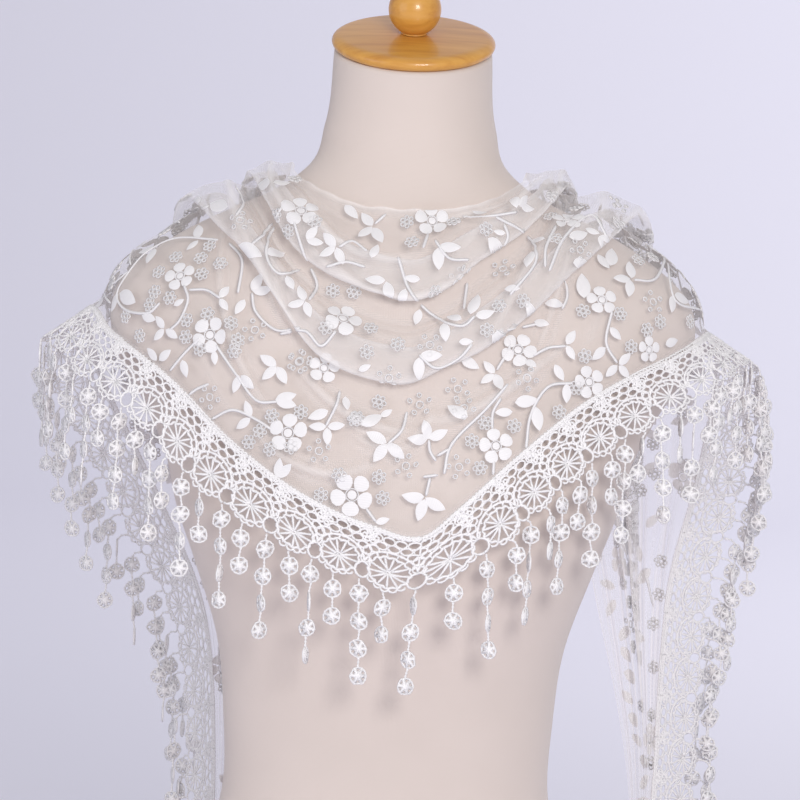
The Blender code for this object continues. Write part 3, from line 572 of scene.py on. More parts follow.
# Swells of the cloth at the shoulders: station, place across, half width, height
swells = np.array([
    (1.00, 0.40, 0.050, 0.0085),
    (0.90, 0.65, 0.050, 0.0050),
    (-1.00, 0.55, 0.055, 0.0050),
])


def ground(station, across):
    # Straight line from neck edge to lace seam at each station, pushed clear of the form.
    station, across = np.broadcast_arrays(np.asarray(station, float), np.asarray(across, float))
    t = across[..., None]
    return keepClear(readRows(neckEdge, station) * (1 - t) + readRows(laceSeam, station) * t,
                     clothSize["clearance"])


def groundNormal(station, across):
    # Square to that surface, outwards: across it times along it.
    step = 0.01
    inner = np.clip(across, 0.02, 0.98)
    along = ground(np.minimum(station + step, 2), inner) - ground(np.maximum(station - step, -2), inner)
    over = ground(station, inner + step) - ground(station, inner - step)
    return unit(np.cross(over, along))


def outwards(points):
    # Square to a grid of points: across it times along it.
    return unit(np.cross(np.gradient(points, axis=1), np.gradient(points, axis=0)))


def foldPoints(edge, lap, lift, closed, room, span):
    # Eight points across one fold: edge + lap * share, lift * share, with shares between those of
    # a wave and those of cloth doubled back, and lap and lift kept small where cloth is narrow.
    closed = np.clip(closed, 0, 1)
    most = {key: foldLimits[key][0] + foldLimits[key][1] * closed for key in ("lap", "lift")}
    lap = np.minimum(np.minimum(lap / span, most["lap"]), foldLimits["room"] * room)
    lift = np.minimum(lift, span * most["lift"])
    return [(edge + lap * (closed * a[0] + (1 - closed) * b[0]), lift * (closed * a[1] + (1 - closed) * b[1]))
            for a, b in zip(doubledBack, loweredWave)]


def foldedProfile(stations, rows):
    # Place across and height of the folded cloth at each station: a smooth curve through 21 points
    # (neck, upper fold, between, lower fold, crest, seam), read at even lengths of cloth.
    span = np.linalg.norm(readRows(neckEdge, stations) - readRows(laceSeam, stations), axis=-1)
    upper = np.moveaxis(readRows(upperFold, stations), -1, 0)
    lower = np.moveaxis(readRows(lowerFold, stations), -1, 0)
    upperPoints = foldPoints(*upper, upper[0], span)
    lowerPoints = foldPoints(*lower, lower[0] - upperPoints[-1][0], span)
    calm = np.clip(2.0 - np.abs(stations), 0, 1)
    keys = [(0 * stations, clothSize["lip"] * calm)]
    keys += [(0.5 * upperPoints[0][0], 0.45 * upperPoints[0][1])]
    keys += upperPoints
    keys += [(0.5 * (upperPoints[-1][0] + lowerPoints[0][0]), 0.35 * lowerPoints[0][1])]
    keys += lowerPoints
    keys += [(0.5 * (lowerPoints[-1][0] + 1), clothSize["crest"] * calm)]
    keys += [(1 + 0 * stations, 0 * stations)]
    keys = np.array(keys).transpose(2, 0, 1) * np.stack([span, np.ones(len(span))], -1)[:, None]
    curve = throughKnots(keys, 8)
    length = runLength(curve)
    share = np.linspace(0, 1, rows)
    across, height = (np.stack([np.interp(share * l[-1], l, c[:, i]) for l, c in zip(length, curve)])
                      for i in (0, 1))
    return across / span[:, None], height, length[:, -1]


def creaseHeight(station, across):
    # Sum of soft ridges: height * exp(-(distance / half width)^2) * sin(share of length)^0.6,
    # and of round swells, with a fine uneven ripple along the raw neck edge and faint waves.
    scale = np.array([clothSize["alongScale"], clothSize["acrossScale"]])
    place = np.stack([station, across], -1) * scale
    total = np.zeros(station.shape)
    for s0, a0, s1, a1, half, height in creases:
        start = np.array([s0, a0]) * scale
        way = np.array([s1, a1]) * scale - start
        aside = np.array([-way[1], way[0]]) / np.linalg.norm(way)
        share = np.clip((place - start) @ way / (way @ way), 0, 1)
        bow = clothSize["bow"] * np.sin(math.pi * share)[..., None] * aside
        apart = np.linalg.norm(place - start - share[..., None] * way - bow, axis=-1)
        ends = np.sin(math.pi * np.clip(share, 0.02, 0.98)) ** 0.6
        total += height * np.exp(-(apart / half) ** 2) * ends
    for s0, a0, half, height in swells:
        apart = np.linalg.norm(place - np.array([s0, a0]) * scale, axis=-1)
        total += height * np.exp(-(apart / half) ** 2)
    ripple = np.sin(23 * station + 2.5 * np.sin(7 * station)) + 0.6 * np.sin(41 * station + 1.3)
    ripple *= np.exp(-across / clothSize["rippleFade"]) * softStep(2.0, 1.6, np.abs(station))
    waves = np.sin(9 * station + 14 * across) * np.sin(17 * across - 5 * station)
    total += clothSize["ripple"] * ripple + clothSize["crumple"] * waves
    return total * softStep(1.0, 0.93, across) * softStep(2.0, 1.8, np.abs(station))


def clothSurface():
    # Points and outward ways of the net: ground + normal * (fold height + crease height).
    stations = np.linspace(-2, 2, clothSize["stations"])
    across, height, width = foldedProfile(stations, clothSize["rows"])
    station, row = np.broadcast_arrays(stations[:, None], np.linspace(0, 1, clothSize["rows"]))
    height = height + creaseHeight(station, row)
    points = ground(station, across) + groundNormal(station, across) * height[..., None]
    points = keepClear(points, clothSize["nearest"], softness=0.0006, rounds=2)
    return {"stations": stations, "points": points, "normals": outwards(points), "width": width}


def makeCloth(cloth, material):
    # The net: one layer through the surface's points; its density, kept as the tone attribute, is
    # greater where it turns sharply, being the change of its way from row to row, and at both edges.
    points = cloth["points"]
    bend = (points[:, 2:] + points[:, :-2] - 2 * points[:, 1:-1]) / np.linalg.norm(
        points[:, 1:-1] - points[:, :-2], axis=-1, keepdims=True)
    sharp = np.pad(np.linalg.norm(bend, axis=-1), ((0, 0), (1, 1)))
    rows = np.arange(clothSize["rows"])
    hem = np.exp(-rows / 1.5) + clothSize["seamDensity"] * np.exp(rows - rows[-1])
    density = np.clip(sharp * clothSize["turnDensity"] + hem, 0, 1)
    along = runLength(points[:, -1])
    across = np.linspace(0, 1, clothSize["rows"]) * cloth["width"][:, None]
    bundle = newBundle()
    addGrid(bundle, points[None], pairs(along[:, None], across)[None], tone=density)
    net = bundleMesh("net_triangle", bundle, material, "net")
    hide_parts("shawl_front", "shawl_end_left", "shawl_end_right")
    print("net draped")
    return net


# The lace border: one repeat is one wheel and the joint beside it
laceSize = {
    "repeatsPerLeg": 27,
    "frontRepeats": 10,             # from the point to the shoulder
    "depth": 0.035,
    "clearance": 0.0050,
    "clearFrom": 0.3,               # share of the depth at which it has its own clearance
    "jointHalf": 0.17,              # half width of the gap at a joint, in repeats
    "jointDip": 0.07,               # how far the scalloped edge draws back at a joint
    "drawnUp": 0.06,                # how much of that the cords follow
    "cord": 0.00068,                # half width of a cord
    "cordHigh": 0.75,               # its height over its width
    "knots": 0.22,                  # how much thicker its knots are
    "stray": 0.00036,               # how far a cord strays from the pattern
    "over": 0.0002,                 # how far cords lie over and under each other
    "perRepeat": 12,                # steps of the reading grid
    "acrossSteps": 15,
}
stretches = (("front", 0, laceSize["frontRepeats"]),
             ("end", laceSize["frontRepeats"], laceSize["repeatsPerLeg"]))


def legLengths():
    # Station against length along the lace seam, for each leg from the point.
    legs = {}
    for side in (-1, 1):
        stations = side * np.linspace(0, 2, 401)
        legs[side] = (runLength(ground(stations, np.ones(401))), np.abs(stations))
    return legs


def stationAt(legs, side, repeats):
    # Station of a place on a leg, counted in repeats from the point.
    pitch = legs[side][0][-1] / laceSize["repeatsPerLeg"]
    return side * np.interp(np.asarray(repeats, float) * pitch, legs[side][0], legs[side][1])


def edgeDepth(places):
    # Depth of the scalloped edge: 1 under a wheel, drawn back beside a joint.
    fromWheel = np.abs(np.asarray(places) % 1 - 0.5) / (0.5 - laceSize["jointHalf"])
    return 1 - laceSize["jointDip"] * np.minimum(fromWheel, 1)


def laceSurface(legs, side):
    # Points and outward ways of the lace: seam + share of depth * (lace edge - seam), kept clear.
    repeats = laceSize["repeatsPerLeg"]
    places = np.linspace(0, repeats, repeats * laceSize["perRepeat"] + 1)
    depth = np.linspace(0, 1, laceSize["acrossSteps"])
    stations, depth = np.broadcast_arrays(stationAt(legs, side, places)[:, None], depth)
    way = readRows(laceEdge, stations) - readRows(laceSeam, stations)
    base = ground(stations, np.ones(stations.shape))
    more = laceSize["clearance"] - clothSize["clearance"]
    clear = clothSize["clearance"] + more * np.minimum(depth / laceSize["clearFrom"], 1)
    points = keepClear(base + way * depth[..., None], clear)
    points[:, 0] = base[:, 0]
    return points, outwards(points) * side


# Rows of thread along the seam: depth in millimetres and phase
seamRows = ((0.4, 0.0), (1.5, 1.0), (2.7, math.pi))
# Round cells between seam and arch: place along, depth, half width and half height, millimetres
laceCells = (
    (-11.4, 5.4, 3.6, 2.2), (-3.9, 5.2, 3.5, 2.1), (3.6, 5.5, 3.7, 2.2), (11.1, 5.3, 3.5, 2.1),
    (-15.0, 9.3, 3.6, 2.3), (-7.6, 9.0, 3.5, 2.1), (0.1, 9.2, 3.7, 2.1), (7.4, 9.3, 3.6, 2.1),
    (-11.6, 12.6, 2.9, 2.0), (11.4, 12.8, 3.0, 2.0), (-15.0, 14.9, 2.6, 2.6),
)
# The wheel and what stands round it, in millimetres: half sizes along the lace and across it
wheelSize = {
    "repeat": 30.0,
    "depth": 23.2,                  # of the wheel's middle
    "deepest": 35.0,                # where the lace ends
    "arch": (15.0, 11.4),
    "slots": (22, 50, 77, 103, 130, 158),   # degrees of the bars between rim and arch
    "loops": (-8.6, -4.4, 0.0, 4.4, 8.6),   # places along of the small loops on the rim
    "loopsAt": (12.3, 9.2),
    "rim": (12.2, 9.1),
    "lobes": 13,                    # of the rim, with a spoke to each
    "firstLobe": 15,                # degrees
    "spokeEnd": (12.0, 9.0),
    "spokeStart": (1.3, 1.1),
    "hub": (1.2, 1.0),
}
rosetteSize = {"depth": 6.2, "reach": (3.7, 2.9), "ring": (1.5, 1.3), "middle": (1.1, 1.0)}


def waveLine(middle, swing, period, phase, step):
    # Line along one repeat at a depth: middle + swing * sin(2 pi x / period + phase), millimetres.
    half = wheelSize["repeat"] / 2
    x = np.linspace(-half, half, int(2 * half / step) + 1)
    return np.stack([x, middle + swing * np.sin(2 * math.pi * x / period + phase)], -1)


def ovalLine(x, depth, wide, deep, first, last, steps):
    # Part of an oval from one turn to another: x + wide * cos, depth - deep * sin.
    turn = np.radians(np.linspace(first, last, steps))
    return np.stack([x + wide * np.cos(turn), depth - deep * np.sin(turn)], -1)


def wheelPoint(size, turn, swell=1.0):
    # Place about the wheel's middle at a turn, on an oval of this size.
    return np.stack([size[0] * swell * np.cos(turn), wheelSize["depth"] - size[1] * swell * np.sin(turn)], -1)


def laceRepeat():
    # The cords of one repeat, about the wheel's middle: x -15 to 15 along, depth 0 to 35 mm.
    # Each entry: half width as a share of a cord, closed or open, line.
    half, depth, lobes = wheelSize["repeat"] / 2, wheelSize["depth"], wheelSize["lobes"]
    cords = [(1.15, False, waveLine(middle, 0.35, 3.0, phase, 1.0)) for middle, phase in seamRows]
    cords.append((0.9, False, waveLine(1.6, 1.2, 2.5, 0.0, 0.625)))
    cords += [(1.05, True, ovalLine(*cell, 0, 324, 10)) for cell in laceCells]
    cords.append((1.35, False, ovalLine(0, depth, *wheelSize["arch"], 6, 174, 25)))
    for turn in np.radians(wheelSize["slots"]):
        ends = wheelPoint(wheelSize["loopsAt"], turn), wheelPoint(wheelSize["arch"], turn)
        cords.append((1.0, False, np.linspace(*ends, 3)))
    turn = np.arange(3 * lobes) * 2 * math.pi / (3 * lobes)
    swell = 0.965 + 0.055 * np.cos(lobes * (turn - math.radians(wheelSize["firstLobe"])))
    cords.append((1.3, True, wheelPoint(wheelSize["rim"], turn, swell)))
    cords.append((1.3, True, ovalLine(0, depth, *wheelSize["hub"], 0, 315, 8)))
    for turn in np.radians(np.arange(lobes) * 360 / lobes + wheelSize["firstLobe"]):
        ends = wheelPoint(wheelSize["spokeStart"], turn), wheelPoint(wheelSize["spokeEnd"], turn)
        cords.append((1.12, False, np.linspace(*ends, 4)))
    for side, way in ((-1, 90), (1, 270)):
        cords.append((1.15, False, ovalLine(side * half, 27.0, 4.4, 4.6, way, way - 180, 9)))
        cords.append((1.0, False, ovalLine(side * half, 19.6, 2.8, 2.8, way, way - 180, 7)))
    wide, deep = wheelSize["loopsAt"]
    for x in wheelSize["loops"]:
        rim = depth + deep * math.sqrt(1 - (x / wide) ** 2)
        cords.append((1.05, False, ovalLine(x, rim, 2.2, 2.0, 180, 360, 6)))
    wide, deep = rosetteSize["reach"]
    for turn in np.radians(np.arange(6) * 60):
        x, down = half + wide * math.cos(turn), rosetteSize["depth"] + deep * math.sin(turn)
        cords.append((1.35, True, ovalLine(x, down, *rosetteSize["ring"], 0, 288, 5)))
    cords.append((1.8, True, ovalLine(half, rosetteSize["depth"], *rosetteSize["middle"], 0, 288, 5)))
    return cords


def makeBorder(surfaces, material):
    # Every cord of the repeat is laid on the lace's surface once for each repeat of a stretch.
    pieces = []
    repeat = laceRepeat()
    for side, word in ((-1, "left"), (1, "right")):
        points, normals = surfaces[side]
        for stretch, first, last in stretches:
            bundle = newBundle()
            wheels = np.arange(first, last) + 0.5
            for order, (share, closed, line) in enumerate(repeat):
                stray = chance.normal(0, laceSize["stray"] / laceSize["depth"], (len(wheels), 1))
                place = wheels[:, None] + line[:, 0] / wheelSize["repeat"] + stray
                place = np.clip(place, 0, laceSize["repeatsPerLeg"])
                drawn = np.minimum(1, 1 - laceSize["drawnUp"] * (1 - edgeDepth(place)))
                depth = line[:, 1] / wheelSize["deepest"] * drawn + 0.7 * stray
                row = place * laceSize["perRepeat"]
                column = depth * (laceSize["acrossSteps"] - 1)
                normal = unit(readGrid(normals, row, column))
                middle = readGrid(points, row, column) + normal * laceSize["over"] * math.sin(order * 2.4)
                knots = 1 + laceSize["knots"] * np.cos(2.4 * np.arange(len(line)) + order)
                half = np.broadcast_to(laceSize["cord"] * share * knots, middle.shape[:2])
                if side == 1:
                    middle, normal = middle[:, ::-1], normal[:, ::-1]
                addTubes(bundle, middle, normal, half, half * laceSize["cordHigh"], closed=closed)
            piece = bundleMesh("lace_cords_%s_%s" % (stretch, word), bundle, material, "lace")
            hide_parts("lace_border_%s_%s" % (stretch, word))
            pieces.append(piece)
    print("lace border laid")
    return pieces


# The fringe: a strand of four discs at each joint, of two under each wheel
fringeSize = {
    "discPitch": 0.0154,            # this and the next, in the finding of free places
    "discRadius": 0.0054,
    "discShown": 0.0063,
    "rootShown": 0.0010,            # the first disc stands this near to its root
    "pitchShown": 0.0171,
    "rim": 0.00092,                 # half widths of a disc's rim, inner ring and broad bars
    "spoke": 0.00060,
    "bar": 0.00135,
    "ringAt": 0.52,                 # the inner ring's share of the rim's radius
    "wobble": 0.05,                 # unevenness of the rim
    "thread": 0.00066,
    "longDiscs": 4,
    "shortDiscs": 2,
    "rootDrop": 0.0080,             # a strand reaches its hanging place this far below its root
    "laneStep": 0.0026,             # steps to either side in which a strand seeks a free place
    "lanes": 8,                     # of those steps, each way
    "laneReach": 0.0085,            # how far strands hang outside an upright edge
    "strandGap": 0.0023,            # least distance between strands, face to face
    "floorClearance": 0.006,
    "uprightFrom": 0.55,            # rise along the edge at which it begins to count as upright
    "uprightBy": 0.30,              # and how much more makes it wholly so
    "edgeReach": 0.13,              # repeats to either side, to tell the edge's way
    "sway": 0.0006,                 # how far discs hang out of line
    "tip": 0.08,                    # how much they tip
    "yaw": 38.0,                    # degrees, spread of the discs' turn
}
reachSteps = (0.0, 0.003, 0.006, 0.009, 0.012, 0.015, 0.018, 0.021)
threadBeads = np.array([0, 1, -1, 1, -1, 1, 0]) * 0.35  # thick and thin places along a thread


def laceAt(surface, place, depth):
    row = np.atleast_1d(np.asarray(place, float) * laceSize["perRepeat"])
    column = np.broadcast_to(np.asarray(depth, float) * (laceSize["acrossSteps"] - 1), row.shape)
    return readGrid(surface[0], row, column)


def strandFrames(surface, side):
    # Root, ways and number of discs of every strand on a leg, by its half repeat. Where the edge
    # runs upright, strands turn to face along it, by (rise - uprightFrom) / uprightBy.
    frames = {}
    flat = np.array([1, 1, 0])
    reach = np.array([-fringeSize["edgeReach"], fringeSize["edgeReach"]])
    for half in range(0 if side == 1 else 1, 2 * laceSize["repeatsPerLeg"]):
        depth = float(edgeDepth(half / 2))
        edge = laceAt(surface, half / 2, depth)[0]
        outward = unit(edge - laceAt(surface, half / 2, depth - 0.2)[0])
        ends = laceAt(surface, np.clip(half / 2 + reach, 0, laceSize["repeatsPerLeg"]), depth)
        along = unit(ends[1] - ends[0]) * side
        rise = abs(along[2]) - fringeSize["uprightFrom"]
        upright = min(max(rise / fringeSize["uprightBy"], 0), 1)
        sideWay = unit((along * (1 - upright) + outward * upright * side) * flat)
        if rise < 0:
            sideWay = unit(along * flat)
        discs = fringeSize["longDiscs"] if half % 2 == 0 else fringeSize["shortDiscs"]
        room = edge[2] - fringeSize["rootDrop"] - fringeSize["floorClearance"]
        while discs * fringeSize["discPitch"] > room and discs > 1:
            discs -= 1
        frames[half] = dict(edge=edge, outward=unit(outward * flat), sideWay=sideWay,
                            face=np.cross(sideWay, (0, 0, 1)), discs=discs, upright=upright)
    return frames


def hangStrands(frames):
    # Offset of each strand from its root: the nearest place free of the strands above it.
    edges = np.array([frames[half]["edge"] for half in sorted(frames)])
    wide = 2 * fringeSize["discRadius"]
    gap = fringeSize["strandGap"]
    drop = fringeSize["rootDrop"]
    lanes = range(-fringeSize["lanes"], fringeSize["lanes"] + 1)
    hung = []
    offsets = {}
    for half in sorted(frames, key=lambda key: -frames[key]["edge"][2]):
        strand = frames[half]
        home = strand["outward"] * fringeSize["laneReach"] * strand["upright"]
        places = [home + strand["outward"] * more + strand["face"] * lane * fringeSize["laneStep"]
                  for more in reachSteps for lane in lanes]
        places = sorted(places, key=lambda place: np.linalg.norm(place - home))
        top = strand["edge"][2] - 0.3 * drop
        low = strand["edge"][2] - drop - strand["discs"] * fringeSize["discPitch"]
        below = edges[(edges[:, 2] < top) & (edges[:, 2] > low - 0.002)]
        chosen = home
        for place in places:
            apart = strand["edge"] + place - below
            beside = np.abs(apart @ strand["sideWay"]) > 0.5 * wide + 0.0028
            before = np.abs(apart @ strand["face"]) > gap + 0.0004
            if not np.all(beside | before):
                continue
            if all(strandIsClear(strand["edge"], place, top, low, other, wide, gap) for other in hung):
                chosen = place
                break
        offsets[half] = chosen
        hung.append((strand["edge"] + chosen, top, low, strand["sideWay"], strand["face"]))
    return offsets


def strandIsClear(root, place, top, low, other, wide, gap):
    # Clear of another strand, both where it hangs and on the slant from its root to there.
    middle, otherTop, otherLow, sideWay, face = other
    if top > otherLow - 0.001 and low < otherTop + 0.001:
        apart = root + place - middle
        if abs(apart @ face) < gap and abs(apart @ sideWay) < wide + 0.0008:
            return False
    if root[2] < otherLow - 0.001:
        return True
    for share in (0.15, 0.3, 0.45, 0.6, 0.75, 0.9):
        apart = root + place * share - middle
        if abs(apart @ face) < 0.75 * gap and abs(apart @ sideWay) < 0.5 * wide + 0.0014:
            return False
    return True


def addDiscs(bundle, centres, wides, downs):
    # Crocheted disc: a closed rim of radius r (1 + wobble), a ring at half of it and three bars.
    count = len(centres)
    rim, spoke = fringeSize["rim"], fringeSize["spoke"]
    turn = np.arange(12)[:, None] * math.pi / 6
    uneven = 1 + fringeSize["wobble"] * chance.standard_normal((count, 12, 1))
    circle = np.cos(turn) * wides[:, None] + np.sin(turn) * downs[:, None]
    line = centres[:, None] + (fringeSize["discShown"] - rim) * uneven * circle
    face = unit(np.cross(wides, downs))[:, None]
    addTubes(bundle, line, face, rim, 0.75 * rim, sides=3, closed=True)
    ring = centres[:, None] + fringeSize["ringAt"] * (line[:, ::2] - centres[:, None])
    addTubes(bundle, ring, face, spoke, spoke, sides=3, closed=True)
    first = chance.uniform(0, math.pi / 3, count)[:, None]
    reach = fringeSize["discShown"] - 1.2 * rim
    for bar in range(3):
        angle = bar * math.pi / 3 + first
        way = np.cos(angle) * wides + np.sin(angle) * downs
        ends = centres[:, None] + way[:, None] * np.array([[-reach], [reach]])
        addTubes(bundle, ends, face, fringeSize["bar"], spoke)


def strandParts(strand, offset):
    # Discs and threads of one strand: a thread of seven points from the edge by way of the hanging
    # place to the first disc, then disc, thread, disc, turned and tipped by chance.
    reach = fringeSize["discShown"] - fringeSize["rim"]
    sway = chance.normal(0, fringeSize["sway"], 3) * np.array([1, 1, 0])
    top = strand["edge"] + offset - np.array([0, 0, fringeSize["rootShown"]])
    hang = [strand["edge"], strand["edge"] + 0.6 * offset - np.array([0, 0, fringeSize["rootShown"]])]
    discs, threads = [], []
    for index in range(strand["discs"]):
        centre = top - np.array([0, 0, (index + 0.5) * fringeSize["pitchShown"]]) + sway * (index + 1)
        yaw = math.radians(chance.normal(0, fringeSize["yaw"]))
        turned = strand["sideWay"] * math.cos(yaw) + strand["face"] * math.sin(yaw)
        down = unit(np.array([0, 0, -1.0]) + turned * chance.normal(0, fringeSize["tip"]))
        discs.append((centre, turned, down))
        line = np.array(hang + [centre - down * reach])
        fine = np.linspace(0, len(line) - 1, len(threadBeads))
        threads.append([np.interp(fine, np.arange(len(line)), line[:, i]) for i in range(3)])
        hang = [centre + down * reach]
    return discs, threads


def makeFringe(surfaces, material):
    pieces = []
    for side, word in ((-1, "left"), (1, "right")):
        frames = strandFrames(surfaces[side], side)
        offsets = hangStrands(frames)
        for stretch, first, last in stretches:
            bundle = newBundle()
            discs, threads = [], []
            for half in range(2 * first, 2 * last):
                if half in frames:
                    more = strandParts(frames[half], offsets[half])
                    discs += more[0]
                    threads += more[1]
            beads = fringeSize["thread"] * (1 + threadBeads)
            addTubes(bundle, np.array(threads).transpose(0, 2, 1), np.array([0.3, -1.0, 0.1]), beads, beads)
            addDiscs(bundle, *np.array(discs).transpose(1, 0, 2))
            piece = bundleMesh("disc_fringe_%s_%s" % (stretch, word), bundle, material, "fringe_thread")
            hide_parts("fringe_%s_%s" % (stretch, word))
            pieces.append(piece)
    print("fringe hung")
    return pieces


# Embroidery: plain flowers, leaves, stems and eyelets in white satin stitch, scattered over the net
stitchSize = {
    "pixel": 0.00066,               # metres to a pixel of the picture at the shawl
    "lift": 0.00030,                # middle of the stitches above the net
    "petalHeight": 0.00040,
    "leafHeight": 0.00040,
    "middle": 0.22,                 # radius of a flower's middle, as a share of the flower
    "middleRing": 0.30,
    "middleHalf": 0.00060,
    "stemHalf": 0.00102,            # half width of a stem
    "stemBreak": 0.006,             # a stem ends where it would jump this far between folds
    "ringHalf": 0.00064,            # half width of an eyelet's ring
    "groupHalf": 0.00062,           # and of a ring in a group
    "groupReach": 0.0064,
    "lobe": 0.00138,                # radius of one small eyelet
}
# The two ends behind have stems in wavy lanes, with flowers and eyelets between them
endSize = {
    "lane": 0.028,                  # from stem to stem
    "lanes": 14,
    "firstLane": 0.45,              # the first stem's distance from the neck edge, in lanes
    "start": 1.02,                  # station, near the neck edge
    "startOut": 0.88,               # and further out, where the front's motifs end sooner
    "stop": 1.97,
    "wave": 0.0035,
    "waveTurn": 0.014,              # metres along for one radian of the wave
    "margin": 0.007,                # kept free at the lace seam
    "leafPitch": 0.015,
    "leaf": 0.0130,                 # length
    "leafOut": 4.0,                 # grid columns from the stem
    "flowerPitch": 0.041,
    "flower": 0.0115,               # radius
    "frontTo": 1.25,                # station where the front's motifs stop
}
# Flowers on the front: picture column, picture row, turn in degrees, width in pixels
flowerSpots = np.array([
    (180, 276, 30, 32), (210, 335, 60, 36), (301, 211, 10, 38), (343, 318, 54, 37),
    (432, 221, 18, 34), (324, 368, 80, 30), (566, 220, 75, 31), (602, 300, 22, 31),
    (638, 233, 40, 30), (518, 350, 60, 34), (589, 382, 36, 32), (288, 433, 12, 38),
    (496, 446, 30, 34), (352, 495, 48, 41), (649, 350, 20, 26), (120, 345, 40, 22),
])
# Sprigs on the front: picture column and row of the leaves' joint, direction of the first leaf and
# turn to the next in degrees, number of leaves, length in pixels
sprigSpots = np.array([
    (199, 240, 95, 125, 2, 15), (155, 247, 198, 47, 2, 17), (118, 293, 250, 82, 2, 20),
    (141, 315, -18, 0, 1, 15), (165, 329, 125, 100, 3, 15), (219, 298, 50, -105, 2, 14),
    (184, 222, 88, 0, 1, 15), (188, 206, 25, 0, 1, 14), (209, 203, -18, 0, 1, 20),
    (237, 245, -22, 0, 1, 25), (252, 292, 62, -56, 2, 20), (268, 249, -20, 0, 1, 17),
    (286, 275, -62, 0, 1, 15), (287, 306, 12, 0, 1, 15), (277, 366, 148, 75, 3, 19),
    (245, 299, 238, 0, 1, 17), (214, 350, -85, 0, 1, 14), (158, 361, 130, -90, 2, 16),
    (182, 359, -75, 0, 1, 18), (173, 306, 30, 0, 1, 12), (273, 184, 4, 176, 2, 17),
    (344, 204, -48, 0, 1, 19), (373, 227, 130, 85, 3, 17), (336, 247, 132, 80, 3, 18),
    (306, 240, 50, -62, 2, 17), (371, 258, 62, 0, 1, 14), (386, 281, 176, 108, 2, 20),
    (406, 288, 250, 0, 1, 18), (421, 280, 172, 0, 1, 16), (438, 247, -2, -86, 2, 22),
    (420, 309, 255, 0, 1, 16), (444, 321, -85, 0, 1, 19), (462, 318, 174, 0, 1, 14),
    (470, 313, 66, 0, 1, 20), (460, 357, -32, 0, 1, 21), (458, 342, 2, 0, 1, 14),
    (419, 357, 5, -95, 2, 22), (358, 371, 25, 0, 1, 13), (305, 301, 112, 88, 3, 16),
    (519, 207, 120, -66, 3, 14), (487, 213, 172, 0, 1, 15), (506, 234, 168, 0, 1, 12),
    (531, 241, 12, 0, 1, 13), (533, 249, 248, 0, 1, 17), (488, 247, -22, 0, 1, 18),
    (504, 289, 5, 0, 1, 15), (475, 317, 14, 0, 1, 19), (568, 238, 14, 0, 1, 19),
    (584, 229, -18, 0, 1, 15), (600, 235, -32, -50, 2, 12), (597, 254, -52, 0, 1, 18),
    (610, 267, 82, 0, 1, 18), (584, 299, 94, 0, 1, 25), (545, 302, -6, 0, 1, 18),
    (533, 322, 100, -108, 2, 15), (490, 342, 4, 0, 1, 17), (631, 279, 94, 84, 3, 17),
    (566, 345, 58, -118, 2, 16), (609, 327, -46, 0, 1, 16), (606, 347, 222, 0, 1, 18),
    (618, 365, 42, -90, 3, 16), (554, 364, -60, 0, 1, 18), (495, 374, 132, 80, 3, 16),
    (573, 264, 4, 0, 1, 15), (525, 360, -30, 0, 1, 12), (673, 295, -22, -73, 2, 17),
    (668, 257, -40, 0, 1, 15), (650, 247, -18, 0, 1, 16), (567, 383, -92, 0, 1, 19),
    (514, 403, 8, 0, 1, 23), (513, 412, 182, 0, 1, 17), (535, 406, -80, 0, 1, 24),
    (240, 375, 250, 65, 2, 18), (275, 400, 14, -30, 2, 21), (251, 418, 108, 108, 2, 17),
    (329, 411, 200, 0, 1, 21), (327, 427, 6, -94, 3, 17), (345, 396, -80, 0, 1, 13),
    (277, 478, 80, -38, 2, 19), (387, 443, 152, 83, 3, 22), (429, 440, 28, 75, 3, 20),
    (468, 417, 152, 0, 1, 22), (425, 499, 174, 78, 3, 22), (361, 425, 24, 0, 1, 22),
    (380, 417, 30, 0, 1, 13), (375, 523, 16, 0, 1, 14), (664, 345, 20, 0, 1, 14),
])
# Six-lobed eyelets and loose groups of small eyelets: picture column, picture row
eyeletSpots = np.array([
    (176, 257), (201, 258), (210, 246), (220, 263), (202, 274), (159, 272), (155, 292), (170, 298),
    (208, 314), (231, 323), (187, 320), (186, 337), (238, 340), (200, 349), (234, 351), (276, 216),
    (288, 232), (164, 231), (294, 178), (315, 222), (407, 222), (454, 222), (412, 242), (333, 291),
    (354, 292), (371, 328), (398, 344), (367, 352), (435, 295), (326, 328), (486, 229), (551, 216),
    (554, 197), (578, 206), (555, 238), (499, 306), (523, 301), (487, 330), (583, 311), (620, 314),
    (622, 229), (638, 260), (653, 257), (647, 330), (631, 347), (585, 356), (576, 388), (559, 412),
    (702, 289), (706, 301), (272, 416), (301, 412), (260, 431), (249, 442), (270, 449), (291, 447),
    (355, 419), (339, 475), (321, 495), (379, 402), (357, 418), (514, 426), (472, 441), (485, 423),
    (480, 468), (379, 477), (383, 498), (126, 316), (140, 336), (660, 322), (150, 305), (690, 322),
])
groupSpots = np.array([
    (240, 220), (255, 330), (299, 362), (461, 281), (430, 345), (389, 378), (580, 250), (503, 269),
    (653, 302), (527, 378), (319, 451), (210, 397), (300, 361), (458, 389), (406, 466), (459, 467),
    (464, 408), (420, 405), (618, 205), (136, 366),
])
